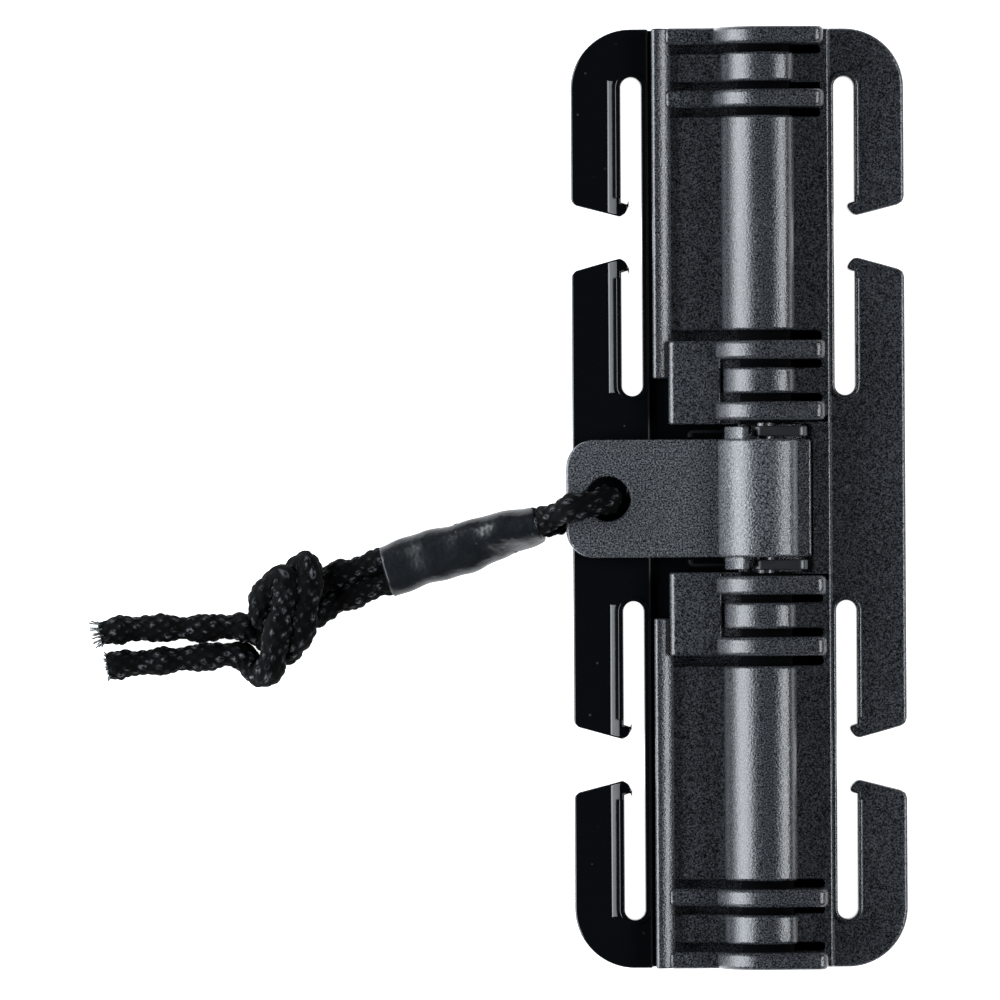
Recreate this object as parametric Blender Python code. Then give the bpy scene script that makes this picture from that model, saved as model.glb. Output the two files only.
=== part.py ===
"""Quick-release webbing buckle with a cord-pulled release lever.

The buckle lies on its back: +X runs from the hook half to the cover half, +Y runs along the
hinge pin and +Z points to the front.  All driving dimensions are in millimetres and become
metres where a mesh is made.
"""
import math

import bmesh
import bpy
from mathutils import Matrix, Vector

MM = 0.001

# Overall
HALF_LENGTH = 45.45
HALF_WIDTH = 16.12
CENTRE_SHIFT = 0.33             # puts the middle of the overall width on x = 0
PLATE_TOP = 2.8
CORNER_RADIUS = 5.8

# Webbing slots, one above and one below the lever on each half
SLOT_X = 10.3
SLOT_HALF_WIDTH = 1.0
SLOT_NEAR = 9.93
SLOT_FAR = 40.8
ARM_GAP_INNER = (23.3, 27.3)    # the gap in the outer arm, at its inner edge
ARM_GAP_OUTER = (22.0, 28.5)    # the same gap at its outer edge
BARB = 0.8                      # how far an arm's end lip reaches into the slot

# Hinge
AXLE_X = 2.5
AXLE_Z = 5.0
PIN_RADIUS = 0.9
PIN_HALF_LENGTH = 45.2
BORE_RADIUS = 1.05
SPRING_POCKET_RADIUS = 2.1
SPRING_POCKET_END = 20.0

# Cover half
LIP_X = -8.3                    # left edge of the cover
LIP_UNDER = 2.4
DECK_LEFT = 4.0
DECK_RIGHT = 3.4
DECK_RIGHT_EDGE = 8.8
BEAD_WIDTH = 1.8
BEAD_TOP = 5.3
BARREL_RADIUS = 4.1
FLANK_ANGLE = math.radians(28.0)
FLANK_RADIUS = 1.7
FLOOR_X = 0.1                   # left edge of the floor under the barrel
KNUCKLE_FACE = 7.15             # where the knuckles face the lever, along Y
LIP_START = 11.6
PAD_LEFT = -6.8
PAD_RIGHT = -2.0
PAD_TOP = 6.0
PAD_END = 15.2
TROUGH_RADIUS = 4.85            # round trough that the lever's hub turns in
RIB_RIGHT = 8.2
RIB_TOP_RADIUS = 4.9
RIB_SHOULDER = 9.45
RIBS = ((7.5, 9.3), (13.4, 15.2), (37.7, 39.4), (43.8, HALF_LENGTH))
CORE_ROWS = ((17.0, 25.0), (26.0, 34.0), (35.0, 43.0))
CORE_X = (1.0, 7.9)
CORE_DEPTH = 1.7

# Hook half
STEP_X = -8.6
TONGUE_END = -0.2
TONGUE_TOP = 2.1
WINDOW_X = (-5.6, -3.7)
WINDOW_HALF = 3.4
NOTCH_END = -10.9               # pocket under the lever's eye, for the cord
NOTCH_HALF = 3.3
NOTCH_FLOOR = 0.4

# Release lever
LEVER_TIP = -16.78
LEVER_HALF = 5.7
LEVER_UNDER = 3.2
LEVER_TOP = 5.5
LEVER_CORNER = 2.7
HUB_RADIUS = 4.6
HUB_INNER_RADIUS = 2.5
HUB_LOWER_ANGLE = -20.0
EYE_X = -12.76
EYE_RADIUS = 2.17
LATCH_X = (-5.2, -4.2)
LATCH_HALF = 3.0
LATCH_BOTTOM = 1.2
SHOULDER_RADII = (3.0, 4.0)
SHOULDER_ANGLES = (123.0, 173.0)
SHOULDER_END = 6.9

# Cam collars beside the lever
COLLAR_Y = (5.95, 6.95)
COLLAR_X = (-1.2, 4.0)          # from the axle
COLLAR_Z = (-1.5, 2.3)          # from the axle
COLLAR_CORNER = 0.9

# Torsion springs
SPRING_RADIUS = 1.6
WIRE_RADIUS = 0.25
SPRING_TURNS = 9
SPRING_PITCH = 0.62
SPRING_START = 7.65
LEG_Y = 6.45
LEG_TIP = -4.7
LEG_DROP = 0.3

# Pull cord
CORD_RADIUS = 1.25
SLEEVE_RIGHT = (-19.3, -2.35, 3.9)
SLEEVE_LEFT = (-34.3, -6.9, 2.3)
SLEEVE_HALF_WIDTH = 2.6
SLEEVE_HALF_HEIGHT = 2.2
SLEEVE_TAPER = ((0.0, 0.86), (0.12, 0.9), (0.5, 0.94), (0.85, 1.0), (1.0, 0.98))  # share of length, size
KNOT_CENTRE = (-43.9, -11.6, 2.75)
KNOT_SEMI_AXES = (3.3, 6.4, 2.6)
KNOT_TILT = math.radians(-22.0)
BIGHT_ROUTE = (
    (-18.8, -2.15, 5.2), (-18.2, -1.95, 6.2), (-17.3, -1.7, 7.0), (-16.2, -1.35, 7.25),
    (-15.0, -0.9, 7.2), (-13.8, -0.45, 6.7), (-13.0, -0.15, 5.7), (-12.75, 0.0, 4.4),
    (-13.0, -0.1, 3.1), (-13.8, -0.35, 2.1), (-15.0, -0.75, 1.8), (-16.3, -1.15, 1.75),
    (-17.5, -1.6, 1.8), (-18.6, -2.0, 2.1),
)
NECK_A_ROUTE = (
    (-34.95, -5.6, 2.1), (-36.2, -6.0, 2.0), (-37.6, -6.5, 1.9), (-39.2, -7.2, 2.0),
)
NECK_B_ROUTE = (
    (-34.95, -8.6, 2.1), (-36.2, -9.0, 2.0), (-37.6, -9.5, 1.9), (-39.5, -10.2, 2.0),
)
TAIL_A_ROUTE = (
    (-48.0, -12.4, 1.7), (-50.0, -12.3, 1.5), (-52.5, -12.2, 1.35), (-55.0, -12.4, 1.3),
    (-57.5, -12.6, 1.3), (-60.0, -12.4, 1.3), (-62.2, -12.5, 1.3),
)
TAIL_B_ROUTE = (
    (-48.6, -15.4, 1.6), (-50.2, -15.3, 1.45), (-52.0, -15.2, 1.35), (-54.5, -15.3, 1.3),
    (-57.0, -15.5, 1.3), (-59.5, -15.7, 1.3), (-61.4, -15.8, 1.3),
)


def clear_scene():
    """Start from an empty scene."""
    for item in list(bpy.data.objects):
        bpy.data.objects.remove(item, do_unlink=True)


def material(name, colour, roughness, metallic=0.0):
    """A plain Principled BSDF finish."""
    finish = bpy.data.materials.new(name)
    finish.use_nodes = True
    shader = finish.node_tree.nodes["Principled BSDF"]
    shader.inputs["Base Color"].default_value = (*colour, 1.0)
    shader.inputs["Roughness"].default_value = roughness
    shader.inputs["Metallic"].default_value = metallic
    return finish


def arc(centre, radius, start, end, steps):
    """Points on an arc from start to end, in degrees, counted from the first axis."""
    points = []
    for step in range(steps + 1):
        angle = math.radians(start + (end - start) * step / steps)
        points.append((centre[0] + radius * math.cos(angle), centre[1] + radius * math.sin(angle)))
    return points


def prism(name, outline, low, high, axis="Z"):
    """A closed prism of a 2-D outline: XY outlines rise along Z, XZ outlines run along Y."""
    mesh = bmesh.new()
    rings = []
    for level in (low, high):
        if axis == "Z":
            ring = [mesh.verts.new((x * MM, y * MM, level * MM)) for x, y in outline]
        else:
            ring = [mesh.verts.new((x * MM, level * MM, z * MM)) for x, z in outline]
        rings.append(ring)
    mesh.faces.new(rings[0])
    mesh.faces.new(rings[1])
    count = len(outline)
    for index in range(count):
        after = (index + 1) % count
        mesh.faces.new((rings[0][index], rings[0][after], rings[1][after], rings[1][index]))
    return finish_mesh(name, mesh)


def box(name, x_span, y_span, z_span):
    """A closed box between two corners."""
    low_x, high_x = x_span
    low_y, high_y = y_span
    outline = [(low_x, low_y), (high_x, low_y), (high_x, high_y), (low_x, high_y)]
    return prism(name, outline, *z_span)


def rod(name, radius, low, high, centre=(AXLE_X, AXLE_Z), steps=32, axis="Y"):
    """A round rod along Y or Z."""
    outline = arc(centre, radius, 0.0, 360.0, steps)[:-1]
    return prism(name, outline, low, high, axis)


def finish_mesh(name, mesh):
    """Turn a bmesh into an object whose faces point out."""
    bmesh.ops.recalc_face_normals(mesh, faces=mesh.faces)
    data = bpy.data.meshes.new(name)
    mesh.to_mesh(data)
    mesh.free()
    item = bpy.data.objects.new(name, data)
    bpy.context.collection.objects.link(item)
    return item


def combine(item, others, operation):
    """Join, cut or intersect an object with helper solids, which bake() takes away."""
    for other in others:
        other.hide_render = True
        other.display_type = "WIRE"
        change = item.modifiers.new(f"{operation.lower()}_{other.name}", "BOOLEAN")
        change.operation = operation
        change.solver = "EXACT"
        change.object = other


def bake(item):
    """Replace an object's mesh by its evaluated shape and drop the helper solids."""
    graph = bpy.context.evaluated_depsgraph_get()
    shape = bpy.data.meshes.new_from_object(item.evaluated_get(graph))
    helpers = [change.object for change in item.modifiers if change.type == "BOOLEAN"]
    item.modifiers.clear()
    item.data = shape
    for helper in helpers:
        bpy.data.objects.remove(helper, do_unlink=True)


def place(item, origin, finish, smooth=40.0):
    """Shift a piece onto the centred frame, with its own origin at a joint or a corner."""
    item.data.transform(Matrix.Translation(-Vector(origin) * MM))
    item.location = (Vector(origin) + Vector((CENTRE_SHIFT, 0.0, 0.0))) * MM
    item.data.materials.clear()
    item.data.materials.append(finish)
    item.data.shade_smooth()
    item.data.set_sharp_from_angle(angle=math.radians(smooth))


def arm_end(gap_inner, gap_outer, direction):
    """The slanted end of an outer arm with its lip: from the slot side to the outer side."""
    edge = SLOT_X + SLOT_HALF_WIDTH
    return [
        (edge, gap_inner + direction * 1.4),
        (edge - BARB, gap_inner + direction * 1.15),
        (edge - 0.55 * BARB, gap_inner + direction * 0.35),
        (edge + 0.1, gap_inner),
        (HALF_WIDTH - 0.4, gap_outer - direction * 0.1),
        (HALF_WIDTH, gap_outer + direction * 0.35),
    ]


def half_outline():
    """Outer edge of a half in the upper right quarter, from the middle to the top end."""
    near_centre = (SLOT_X, SLOT_NEAR + SLOT_HALF_WIDTH)
    far_centre = (SLOT_X, SLOT_FAR - SLOT_HALF_WIDTH)
    corner = (HALF_WIDTH - CORNER_RADIUS, HALF_LENGTH - CORNER_RADIUS)
    points = list(reversed(arm_end(ARM_GAP_INNER[0], ARM_GAP_OUTER[0], -1.0)))
    points += arc(near_centre, SLOT_HALF_WIDTH, 0.0, -180.0, 10)
    points += arc(far_centre, SLOT_HALF_WIDTH, 180.0, 0.0, 10)
    points += arm_end(ARM_GAP_INNER[1], ARM_GAP_OUTER[1], 1.0)
    points += arc(corner, CORNER_RADIUS, 0.0, 90.0, 12)
    return points


def plate_outline(inner_edge, side):
    """Plan of one half's plate: its comb of arms and slots, closed along an inner edge."""
    upper = half_outline()
    lower = [(x, -y) for x, y in reversed(upper)]
    points = [(inner_edge, -HALF_LENGTH)] + lower + upper + [(inner_edge, HALF_LENGTH)]
    return [(side * x, y) for x, y in points]


def barrel_arc(steps=20):
    """Outer profile of the barrel, from its foot on the right deck over to the left deck."""
    small = (
        AXLE_X + (BARREL_RADIUS - FLANK_RADIUS) * math.sin(FLANK_ANGLE),
        AXLE_Z + (BARREL_RADIUS - FLANK_RADIUS) * math.cos(FLANK_ANGLE),
    )
    start = 90.0 - math.degrees(FLANK_ANGLE)
    foot = 180.0 - math.degrees(math.asin((DECK_LEFT - AXLE_Z) / BARREL_RADIUS))
    right = [(small[0] + FLANK_RADIUS, DECK_RIGHT)] + arc(small, FLANK_RADIUS, 0.0, start, 7)
    return right + arc((AXLE_X, AXLE_Z), BARREL_RADIUS, start, foot, steps)[1:]


def cover_section():
    """Cross-section of the cover half where its lip runs over the hook half."""
    bead_centre = (LIP_X + BEAD_WIDTH / 2, BEAD_TOP - BEAD_WIDTH / 2)
    right = [(FLOOR_X, 0.0), (DECK_RIGHT_EDGE + 0.6, 0.0), (DECK_RIGHT_EDGE + 0.6, PLATE_TOP - 0.2)]
    right += [(DECK_RIGHT_EDGE, DECK_RIGHT)]
    left = [(LIP_X + BEAD_WIDTH, DECK_LEFT)] + arc(bead_centre, BEAD_WIDTH / 2, 0.0, 180.0, 8)
    return right + barrel_arc() + left + [(LIP_X, LIP_UNDER), (FLOOR_X, LIP_UNDER)]


def knuckle_section():
    """Cross-section of the cover half beside the lever, where the pad replaces the lip."""
    top = [point for point in barrel_arc() if point[1] > PAD_TOP or point[0] > AXLE_X]
    right = [(FLOOR_X, 0.0), (DECK_RIGHT_EDGE + 0.6, 0.0), (DECK_RIGHT_EDGE + 0.6, PLATE_TOP - 0.2)]
    right += [(DECK_RIGHT_EDGE, DECK_RIGHT)]
    pad = arc((PAD_LEFT + 0.7, PAD_TOP - 0.7), 0.7, 90.0, 180.0, 4)
    return right + top + [(PAD_RIGHT, PAD_TOP)] + pad + [(PAD_LEFT, LIP_UNDER), (FLOOR_X, LIP_UNDER)]


def rib_section():
    """Profile of a hoop rib that bridges the barrel."""
    corner = (RIB_RIGHT - 1.0, RIB_SHOULDER - 1.0)
    points = [(LIP_X + BEAD_WIDTH - 0.6, 3.0), (RIB_RIGHT, 3.0)]
    points += arc(corner, 1.0, 0.0, 80.0, 6)
    meeting = 180.0 - math.degrees(math.asin((BEAD_TOP - 0.1 - AXLE_Z) / RIB_TOP_RADIUS))
    points += arc((AXLE_X, AXLE_Z), RIB_TOP_RADIUS, 80.0, meeting, 16)
    points += [(LIP_X + BEAD_WIDTH - 0.6, BEAD_TOP - 0.1)]
    return points


def cover_half(finish):
    """The right-hand moulding: slotted plate, barrel, ribs, knuckles and cover lip."""
    body = prism("cover_half", plate_outline(FLOOR_X, 1.0), 0.0, PLATE_TOP)
    bridge = [(AXLE_X, 0.5), (DECK_RIGHT_EDGE + 0.6, 0.5), (DECK_RIGHT_EDGE + 0.6, PLATE_TOP - 0.2)]
    bridge += [(DECK_RIGHT_EDGE, DECK_RIGHT), (AXLE_X, DECK_RIGHT)]
    joins = [prism("guide_bridge", bridge, -KNUCKLE_FACE - 1.0, KNUCKLE_FACE + 1.0, "Y")]
    for side in (1.0, -1.0):
        tag = "upper" if side > 0 else "lower"
        spans = {
            "lip": (cover_section(), LIP_START, HALF_LENGTH),
            "knuckle": (knuckle_section(), KNUCKLE_FACE, PAD_END),
        }
        for name, (section, low, high) in spans.items():
            joins.append(prism(f"guide_{name}_{tag}", section, *sorted((side * low, side * high)), "Y"))
        for number, (low, high) in enumerate(RIBS):
            ends = sorted((side * low, side * high))
            joins.append(prism(f"guide_rib_{tag}_{number}", rib_section(), *ends, "Y"))
    combine(body, joins, "UNION")
    cuts = [rod("guide_pin_bore", BORE_RADIUS, -HALF_LENGTH - 1.0, HALF_LENGTH + 1.0, steps=24)]
    cuts.append(rod("guide_trough", TROUGH_RADIUS, -KNUCKLE_FACE, KNUCKLE_FACE, steps=64))
    for side in (1.0, -1.0):
        tag = "upper" if side > 0 else "lower"
        ends = sorted((side * (KNUCKLE_FACE - 1.0), side * SPRING_POCKET_END))
        cuts.append(rod(f"guide_spring_pocket_{tag}", SPRING_POCKET_RADIUS, *ends))
        for number, (low, high) in enumerate(CORE_ROWS):
            ends = sorted((side * low, side * high))
            cuts.append(box(f"guide_core_{tag}_{number}", CORE_X, ends, (-1.0, CORE_DEPTH)))
    combine(body, cuts, "DIFFERENCE")
    bake(body)
    place(body, (0.0, 0.0, 0.0), finish)


def hook_half(finish):
    """The left-hand moulding: slotted plate and the thin tongue that slides under the cover."""
    body = prism("hook_half", plate_outline(-STEP_X, -1.0), 0.0, PLATE_TOP)
    tongue_x = (STEP_X - 0.4, TONGUE_END)
    tongue = box("guide_tongue", tongue_x, (-HALF_LENGTH, HALF_LENGTH), (0.0, TONGUE_TOP))
    combine(body, [tongue], "UNION")
    window = box("guide_window", WINDOW_X, (-WINDOW_HALF, WINDOW_HALF), (-1.0, PLATE_TOP + 1.0))
    notch_x = (-HALF_WIDTH - 1.0, NOTCH_END)
    notch = box("guide_notch", notch_x, (-NOTCH_HALF, NOTCH_HALF), (NOTCH_FLOOR, PLATE_TOP + 1.0))
    combine(body, [window, notch], "DIFFERENCE")
    bake(body)
    place(body, (STEP_X, 0.0, 0.0), finish)


def lever_section():
    """Profile of the lever: flat tab, round hub and the cut-away under the hub."""
    centre = (AXLE_X, AXLE_Z)
    low_start = -180.0 + math.degrees(math.asin((AXLE_Z - LEVER_UNDER) / HUB_INNER_RADIUS))
    top_end = 180.0 - math.degrees(math.asin((LEVER_TOP - AXLE_Z) / HUB_RADIUS))
    points = [(LEVER_TIP, LEVER_UNDER)]
    points += arc(centre, HUB_INNER_RADIUS, low_start, -38.0, 8)
    points += arc(centre, HUB_RADIUS, HUB_LOWER_ANGLE, top_end, 26)
    points += [(LEVER_TIP, LEVER_TOP)]
    return points


def lever_plan():
    """Plan of the lever: round corners at the pull end."""
    corner_x = LEVER_TIP + LEVER_CORNER
    corner_y = LEVER_HALF - LEVER_CORNER
    end = AXLE_X + HUB_RADIUS + 1.0
    points = arc((corner_x, corner_y), LEVER_CORNER, 90.0, 180.0, 8)
    points += arc((corner_x, -corner_y), LEVER_CORNER, 180.0, 270.0, 8)
    return points + [(end, -LEVER_HALF), (end, LEVER_HALF)]


def release_lever(finish):
    """The lever with its eye for the cord, its latch and the shoulders beside the hub."""
    body = prism("release_lever", lever_section(), -LEVER_HALF - 1.0, LEVER_HALF + 1.0, "Y")
    combine(body, [prism("guide_plan", lever_plan(), -1.0, AXLE_Z + HUB_RADIUS + 1.0)], "INTERSECT")
    latch = box("guide_latch", LATCH_X, (-LATCH_HALF, LATCH_HALF), (LATCH_BOTTOM, LEVER_UNDER + 0.6))
    ring = arc((AXLE_X, AXLE_Z), SHOULDER_RADII[1], *SHOULDER_ANGLES, 8)
    ring += arc((AXLE_X, AXLE_Z), SHOULDER_RADII[0], *reversed(SHOULDER_ANGLES), 8)
    joins = [latch]
    for side in (1.0, -1.0):
        ends = sorted((side * (LEVER_HALF - 0.4), side * SHOULDER_END))
        joins.append(prism(f"guide_shoulder_{int(side)}", ring, *ends, "Y"))
    combine(body, joins, "UNION")
    eye = rod("guide_eye", EYE_RADIUS, -1.0, LEVER_TOP + 1.0, centre=(EYE_X, 0.0), steps=32, axis="Z")
    bore = rod("guide_bore", BORE_RADIUS, -LEVER_HALF - 1.0, LEVER_HALF + 1.0, steps=24)
    combine(body, [eye, bore], "DIFFERENCE")
    bake(body)
    place(body, (AXLE_X, 0.0, AXLE_Z), finish)


def cam_collar(name, side, finish):
    """A smooth collar on the pin between the lever and a knuckle."""
    low_x, high_x = (AXLE_X + value for value in COLLAR_X)
    low_z, high_z = (AXLE_Z + value for value in COLLAR_Z)
    radius = COLLAR_CORNER
    points = arc((high_x - radius, low_z + radius), radius, -90.0, 0.0, 5)
    points += arc((high_x - radius, high_z - radius), radius, 0.0, 90.0, 5)
    points += arc((low_x + radius, high_z - radius), radius, 90.0, 180.0, 5)
    points += arc((low_x + radius, low_z + radius), radius, 180.0, 270.0, 5)
    ends = sorted(side * value for value in COLLAR_Y)
    body = prism(name, points, *ends, "Y")
    bore = rod(f"guide_{name}_bore", BORE_RADIUS, ends[0] - 1.0, ends[1] + 1.0, steps=24)
    combine(body, [bore], "DIFFERENCE")
    bake(body)
    place(body, (AXLE_X, side * COLLAR_Y[0], AXLE_Z), finish)


def hinge_pin(finish):
    """The steel pin through both knuckles, the collars and the lever."""
    body = rod("hinge_pin", PIN_RADIUS, -PIN_HALF_LENGTH, PIN_HALF_LENGTH, steps=24)
    place(body, (AXLE_X, 0.0, AXLE_Z), finish)


def smooth_route(route, spacing):
    """Points at an even spacing on a smooth curve through the route's points."""
    knots = [Vector(point) for point in route]
    padded = [2 * knots[0] - knots[1], *knots, 2 * knots[-1] - knots[-2]]
    fine = []
    for index in range(1, len(padded) - 2):
        before, start, end, after = padded[index - 1:index + 3]
        for step in range(12):
            t = step / 12
            bend = 2 * before - 5 * start + 4 * end - after
            twist = 3 * start - before - 3 * end + after
            fine.append(0.5 * (2 * start + (end - before) * t + bend * t * t + twist * t ** 3))
    fine.append(knots[-1])
    lengths = [0.0]
    for start, end in zip(fine, fine[1:]):
        lengths.append(lengths[-1] + (end - start).length)
    count = max(2, round(lengths[-1] / spacing))
    points = []
    index = 0
    for step in range(count + 1):
        target = lengths[-1] * step / count
        while index < len(lengths) - 2 and lengths[index + 1] < target:
            index += 1
        share = (target - lengths[index]) / (lengths[index + 1] - lengths[index])
        points.append(fine[index].lerp(fine[index + 1], share))
    return points


def tube(name, points, radius, finish, resolution=2):
    """A round tube with filled ends along a list of points."""
    curve = bpy.data.curves.new(name, "CURVE")
    curve.dimensions = "3D"
    curve.bevel_depth = radius * MM
    curve.bevel_resolution = resolution
    curve.use_fill_caps = True
    spline = curve.splines.new("POLY")
    spline.points.add(len(points) - 1)
    for slot, point in zip(spline.points, points):
        slot.co = (*(Vector(point) * MM), 1.0)
    curve.materials.append(finish)
    item = bpy.data.objects.new(name, curve)
    item.location = (CENTRE_SHIFT * MM, 0.0, 0.0)
    bpy.context.collection.objects.link(item)
    return item


def torsion_spring(name, side, finish):
    """A coil on the pin inside a knuckle, with the leg that lifts against the lever's side."""
    leg_z = AXLE_Z - LEG_DROP
    corner_x = AXLE_X - SPRING_RADIUS
    route = [(LEG_TIP, side * 5.95, leg_z), (LEG_TIP, side * 6.2, leg_z)]
    route += [(LEG_TIP + 0.1, side * 6.38, leg_z), (LEG_TIP + 0.3, side * LEG_Y, leg_z)]
    route += [(corner_x - 0.35, side * LEG_Y, leg_z), (corner_x - 0.1, side * (LEG_Y + 0.1), leg_z)]
    route += [(corner_x, side * (LEG_Y + 0.35), leg_z + 0.1)]
    route += [(corner_x, side * (SPRING_START - 0.2), AXLE_Z - 0.1)]
    steps = 14
    for step in range(SPRING_TURNS * steps + 1):
        angle = math.pi - 2 * math.pi * step / steps
        y = side * (SPRING_START + SPRING_PITCH * step / steps)
        x = AXLE_X + SPRING_RADIUS * math.cos(angle)
        route.append((x, y, AXLE_Z + SPRING_RADIUS * math.sin(angle)))
    tube(name, route, WIRE_RADIUS, finish, resolution=1)


def cord_sleeve(finish):
    """The shrunk sleeve that binds the cord's two strands, as a closed oval body."""
    start = Vector(SLEEVE_RIGHT)
    end = Vector(SLEEVE_LEFT)
    run = (end - start).normalized()
    across = Vector((-run.y, run.x, 0.0)).normalized()
    up = run.cross(across)
    if up.z < 0.0:
        up = -up
    mesh = bmesh.new()
    rings = []
    for share, scale in SLEEVE_TAPER:
        centre = start.lerp(end, share)
        ring = []
        for x, y in arc((0.0, 0.0), 1.0, 0.0, 360.0, 20)[:-1]:
            offset = across * (x * SLEEVE_HALF_WIDTH * scale) + up * (y * SLEEVE_HALF_HEIGHT * scale)
            ring.append(mesh.verts.new((centre + offset) * MM))
        rings.append(ring)
    for first, second in zip(rings, rings[1:]):
        for index in range(len(first)):
            after = (index + 1) % len(first)
            mesh.faces.new((first[index], first[after], second[after], second[index]))
    mesh.faces.new(rings[0])
    mesh.faces.new(rings[-1])
    place(finish_mesh("cord_sleeve", mesh), (0.0, 0.0, 0.0), finish)


def cord_knot(finish):
    """The overhand knot's outer shape as one closed lump."""
    mesh = bmesh.new()
    bmesh.ops.create_uvsphere(mesh, u_segments=20, v_segments=12, radius=1.0)
    shape = Matrix.Translation(Vector(KNOT_CENTRE) * MM) @ Matrix.Rotation(KNOT_TILT, 4, "Z")
    shape = shape @ Matrix.Diagonal((*(Vector(KNOT_SEMI_AXES) * MM), 1.0))
    bmesh.ops.transform(mesh, matrix=shape, verts=mesh.verts)
    place(finish_mesh("cord_knot", mesh), (0.0, 0.0, 0.0), finish)


def main():
    """Build every piece of the buckle."""
    clear_scene()
    textured = material("textured_black_plastic", (0.018, 0.019, 0.021), 0.42)
    smooth = material("gloss_black_plastic", (0.01, 0.011, 0.012), 0.16)
    acetal = material("smooth_dark_collar", (0.04, 0.042, 0.045), 0.3)
    steel = material("blued_steel_pin", (0.16, 0.16, 0.17), 0.4, 1.0)
    wire = material("black_spring_wire", (0.09, 0.09, 0.095), 0.4, 1.0)
    braid = material("black_braid", (0.012, 0.012, 0.014), 0.75)
    shrink = material("shrunk_sleeve", (0.03, 0.032, 0.035), 0.38)
    cover_half(textured)
    hook_half(smooth)
    release_lever(textured)
    hinge_pin(steel)
    for side, tag in ((1.0, "upper"), (-1.0, "lower")):
        cam_collar(f"cam_collar_{tag}", side, acetal)
        torsion_spring(f"torsion_spring_{tag}", side, wire)
    spacing = 2.2 * CORD_RADIUS
    tube("cord_bight", smooth_route(BIGHT_ROUTE, CORD_RADIUS), CORD_RADIUS, braid)
    for name, route in (("cord_neck_a", NECK_A_ROUTE), ("cord_neck_b", NECK_B_ROUTE),
                        ("cord_tail_a", TAIL_A_ROUTE), ("cord_tail_b", TAIL_B_ROUTE)):
        tube(name, smooth_route(route, spacing), CORD_RADIUS, braid)
    cord_sleeve(shrink)
    cord_knot(braid)


main()
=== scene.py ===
"""Quick-release webbing buckle with a cord-pulled lever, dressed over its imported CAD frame.

Lengths are in millimetres and become metres where a mesh is made.  +X runs from the hook half to
the cover half, +Y runs along the hinge pin and +Z points to the front.
"""

import logging
import math
from collections.abc import Iterable, Sequence
from dataclasses import dataclass, field
from enum import Enum

import bmesh
import bpy
from mathutils import Matrix, Vector


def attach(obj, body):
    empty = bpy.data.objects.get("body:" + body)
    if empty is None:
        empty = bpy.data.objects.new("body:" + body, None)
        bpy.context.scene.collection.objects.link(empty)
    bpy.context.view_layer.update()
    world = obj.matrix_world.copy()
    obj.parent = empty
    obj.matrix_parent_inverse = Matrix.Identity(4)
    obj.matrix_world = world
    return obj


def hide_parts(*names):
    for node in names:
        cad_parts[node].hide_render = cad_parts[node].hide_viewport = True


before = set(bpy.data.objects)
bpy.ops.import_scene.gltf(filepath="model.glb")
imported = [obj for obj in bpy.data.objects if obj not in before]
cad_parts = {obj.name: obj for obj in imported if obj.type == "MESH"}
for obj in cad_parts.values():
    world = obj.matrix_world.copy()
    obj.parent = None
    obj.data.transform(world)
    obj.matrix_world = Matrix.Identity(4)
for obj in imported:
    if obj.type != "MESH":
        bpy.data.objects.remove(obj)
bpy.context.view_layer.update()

LOG = logging.getLogger("buckle")
MM = 0.001
FRAME_SHIFT = Vector((0.33, 0.0, 0.0))
GOLDEN_TURN = 2.39996

Point2 = tuple[float, float]
Point3 = tuple[float, float, float]
Span = tuple[float, float]
Colour = tuple[float, float, float]
Obj = bpy.types.Object


# ---------------------------------------------------------------------------------------------
# Choices
# ---------------------------------------------------------------------------------------------
class Run(Enum):
    """The way a profile is carried to make a solid."""

    UP = "Z"
    ALONG_PIN = "Y"


class Body(Enum):
    """The moving bodies of the buckle."""

    COVER = "cover"
    HOOK = "hook"
    LEVER = "lever"


class Slot(Enum):
    """The record's material slots."""

    TEXTURED = "textured_black"
    GLOSS = "gloss_black"
    COLLAR = "dark_collar"
    STEEL = "steel"
    WIRE = "black_wire"
    BRAID = "black_braid"
    SLEEVE = "shrunk_sleeve"


# ---------------------------------------------------------------------------------------------
# Mesh work
# ---------------------------------------------------------------------------------------------
def arc(centre: Point2, radius: float, start: float, end: float, steps: int) -> list[Point2]:
    """Give points on an arc.

    Args:
        centre: Middle of the arc.
        radius: Radius of the arc.
        start: First angle in degrees, from the first axis.
        end: Last angle in degrees.
        steps: Number of straight steps between the two ends.

    Returns:
        The points in order, both ends included.
    """
    angles = [math.radians(start + (end - start) * step / steps) for step in range(steps + 1)]
    return [(centre[0] + radius * math.cos(a), centre[1] + radius * math.sin(a)) for a in angles]


def circle(centre: Point2, radius: float, steps: int) -> list[Point2]:
    """Give the points of a full circle."""
    return arc(centre, radius, 0.0, 360.0, steps)[:-1]


def mirrored(span: Span, side: float) -> Span:
    """Give a span of Y on one side of the lever, low end first."""
    low, high = sorted((side * span[0], side * span[1]))
    return low, high


def linked(name: str, data: bpy.types.ID) -> Obj:
    """Put a mesh, a light or a camera into the scene.

    Args:
        name: Name of its object.
        data: The mesh, light or camera.

    Returns:
        The new object.
    """
    item = bpy.data.objects.new(name, data)
    bpy.context.scene.collection.objects.link(item)
    return item


def object_from(name: str, mesh: bmesh.types.BMesh) -> Obj:
    """Turn a bmesh into a linked object whose faces point out.

    Args:
        name: Name of the object and of its mesh.
        mesh: The bmesh, which is freed.

    Returns:
        The new object.
    """
    bmesh.ops.recalc_face_normals(mesh, faces=mesh.faces)
    data = bpy.data.meshes.new(name)
    mesh.to_mesh(data)
    mesh.free()
    return linked(name, data)


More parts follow.
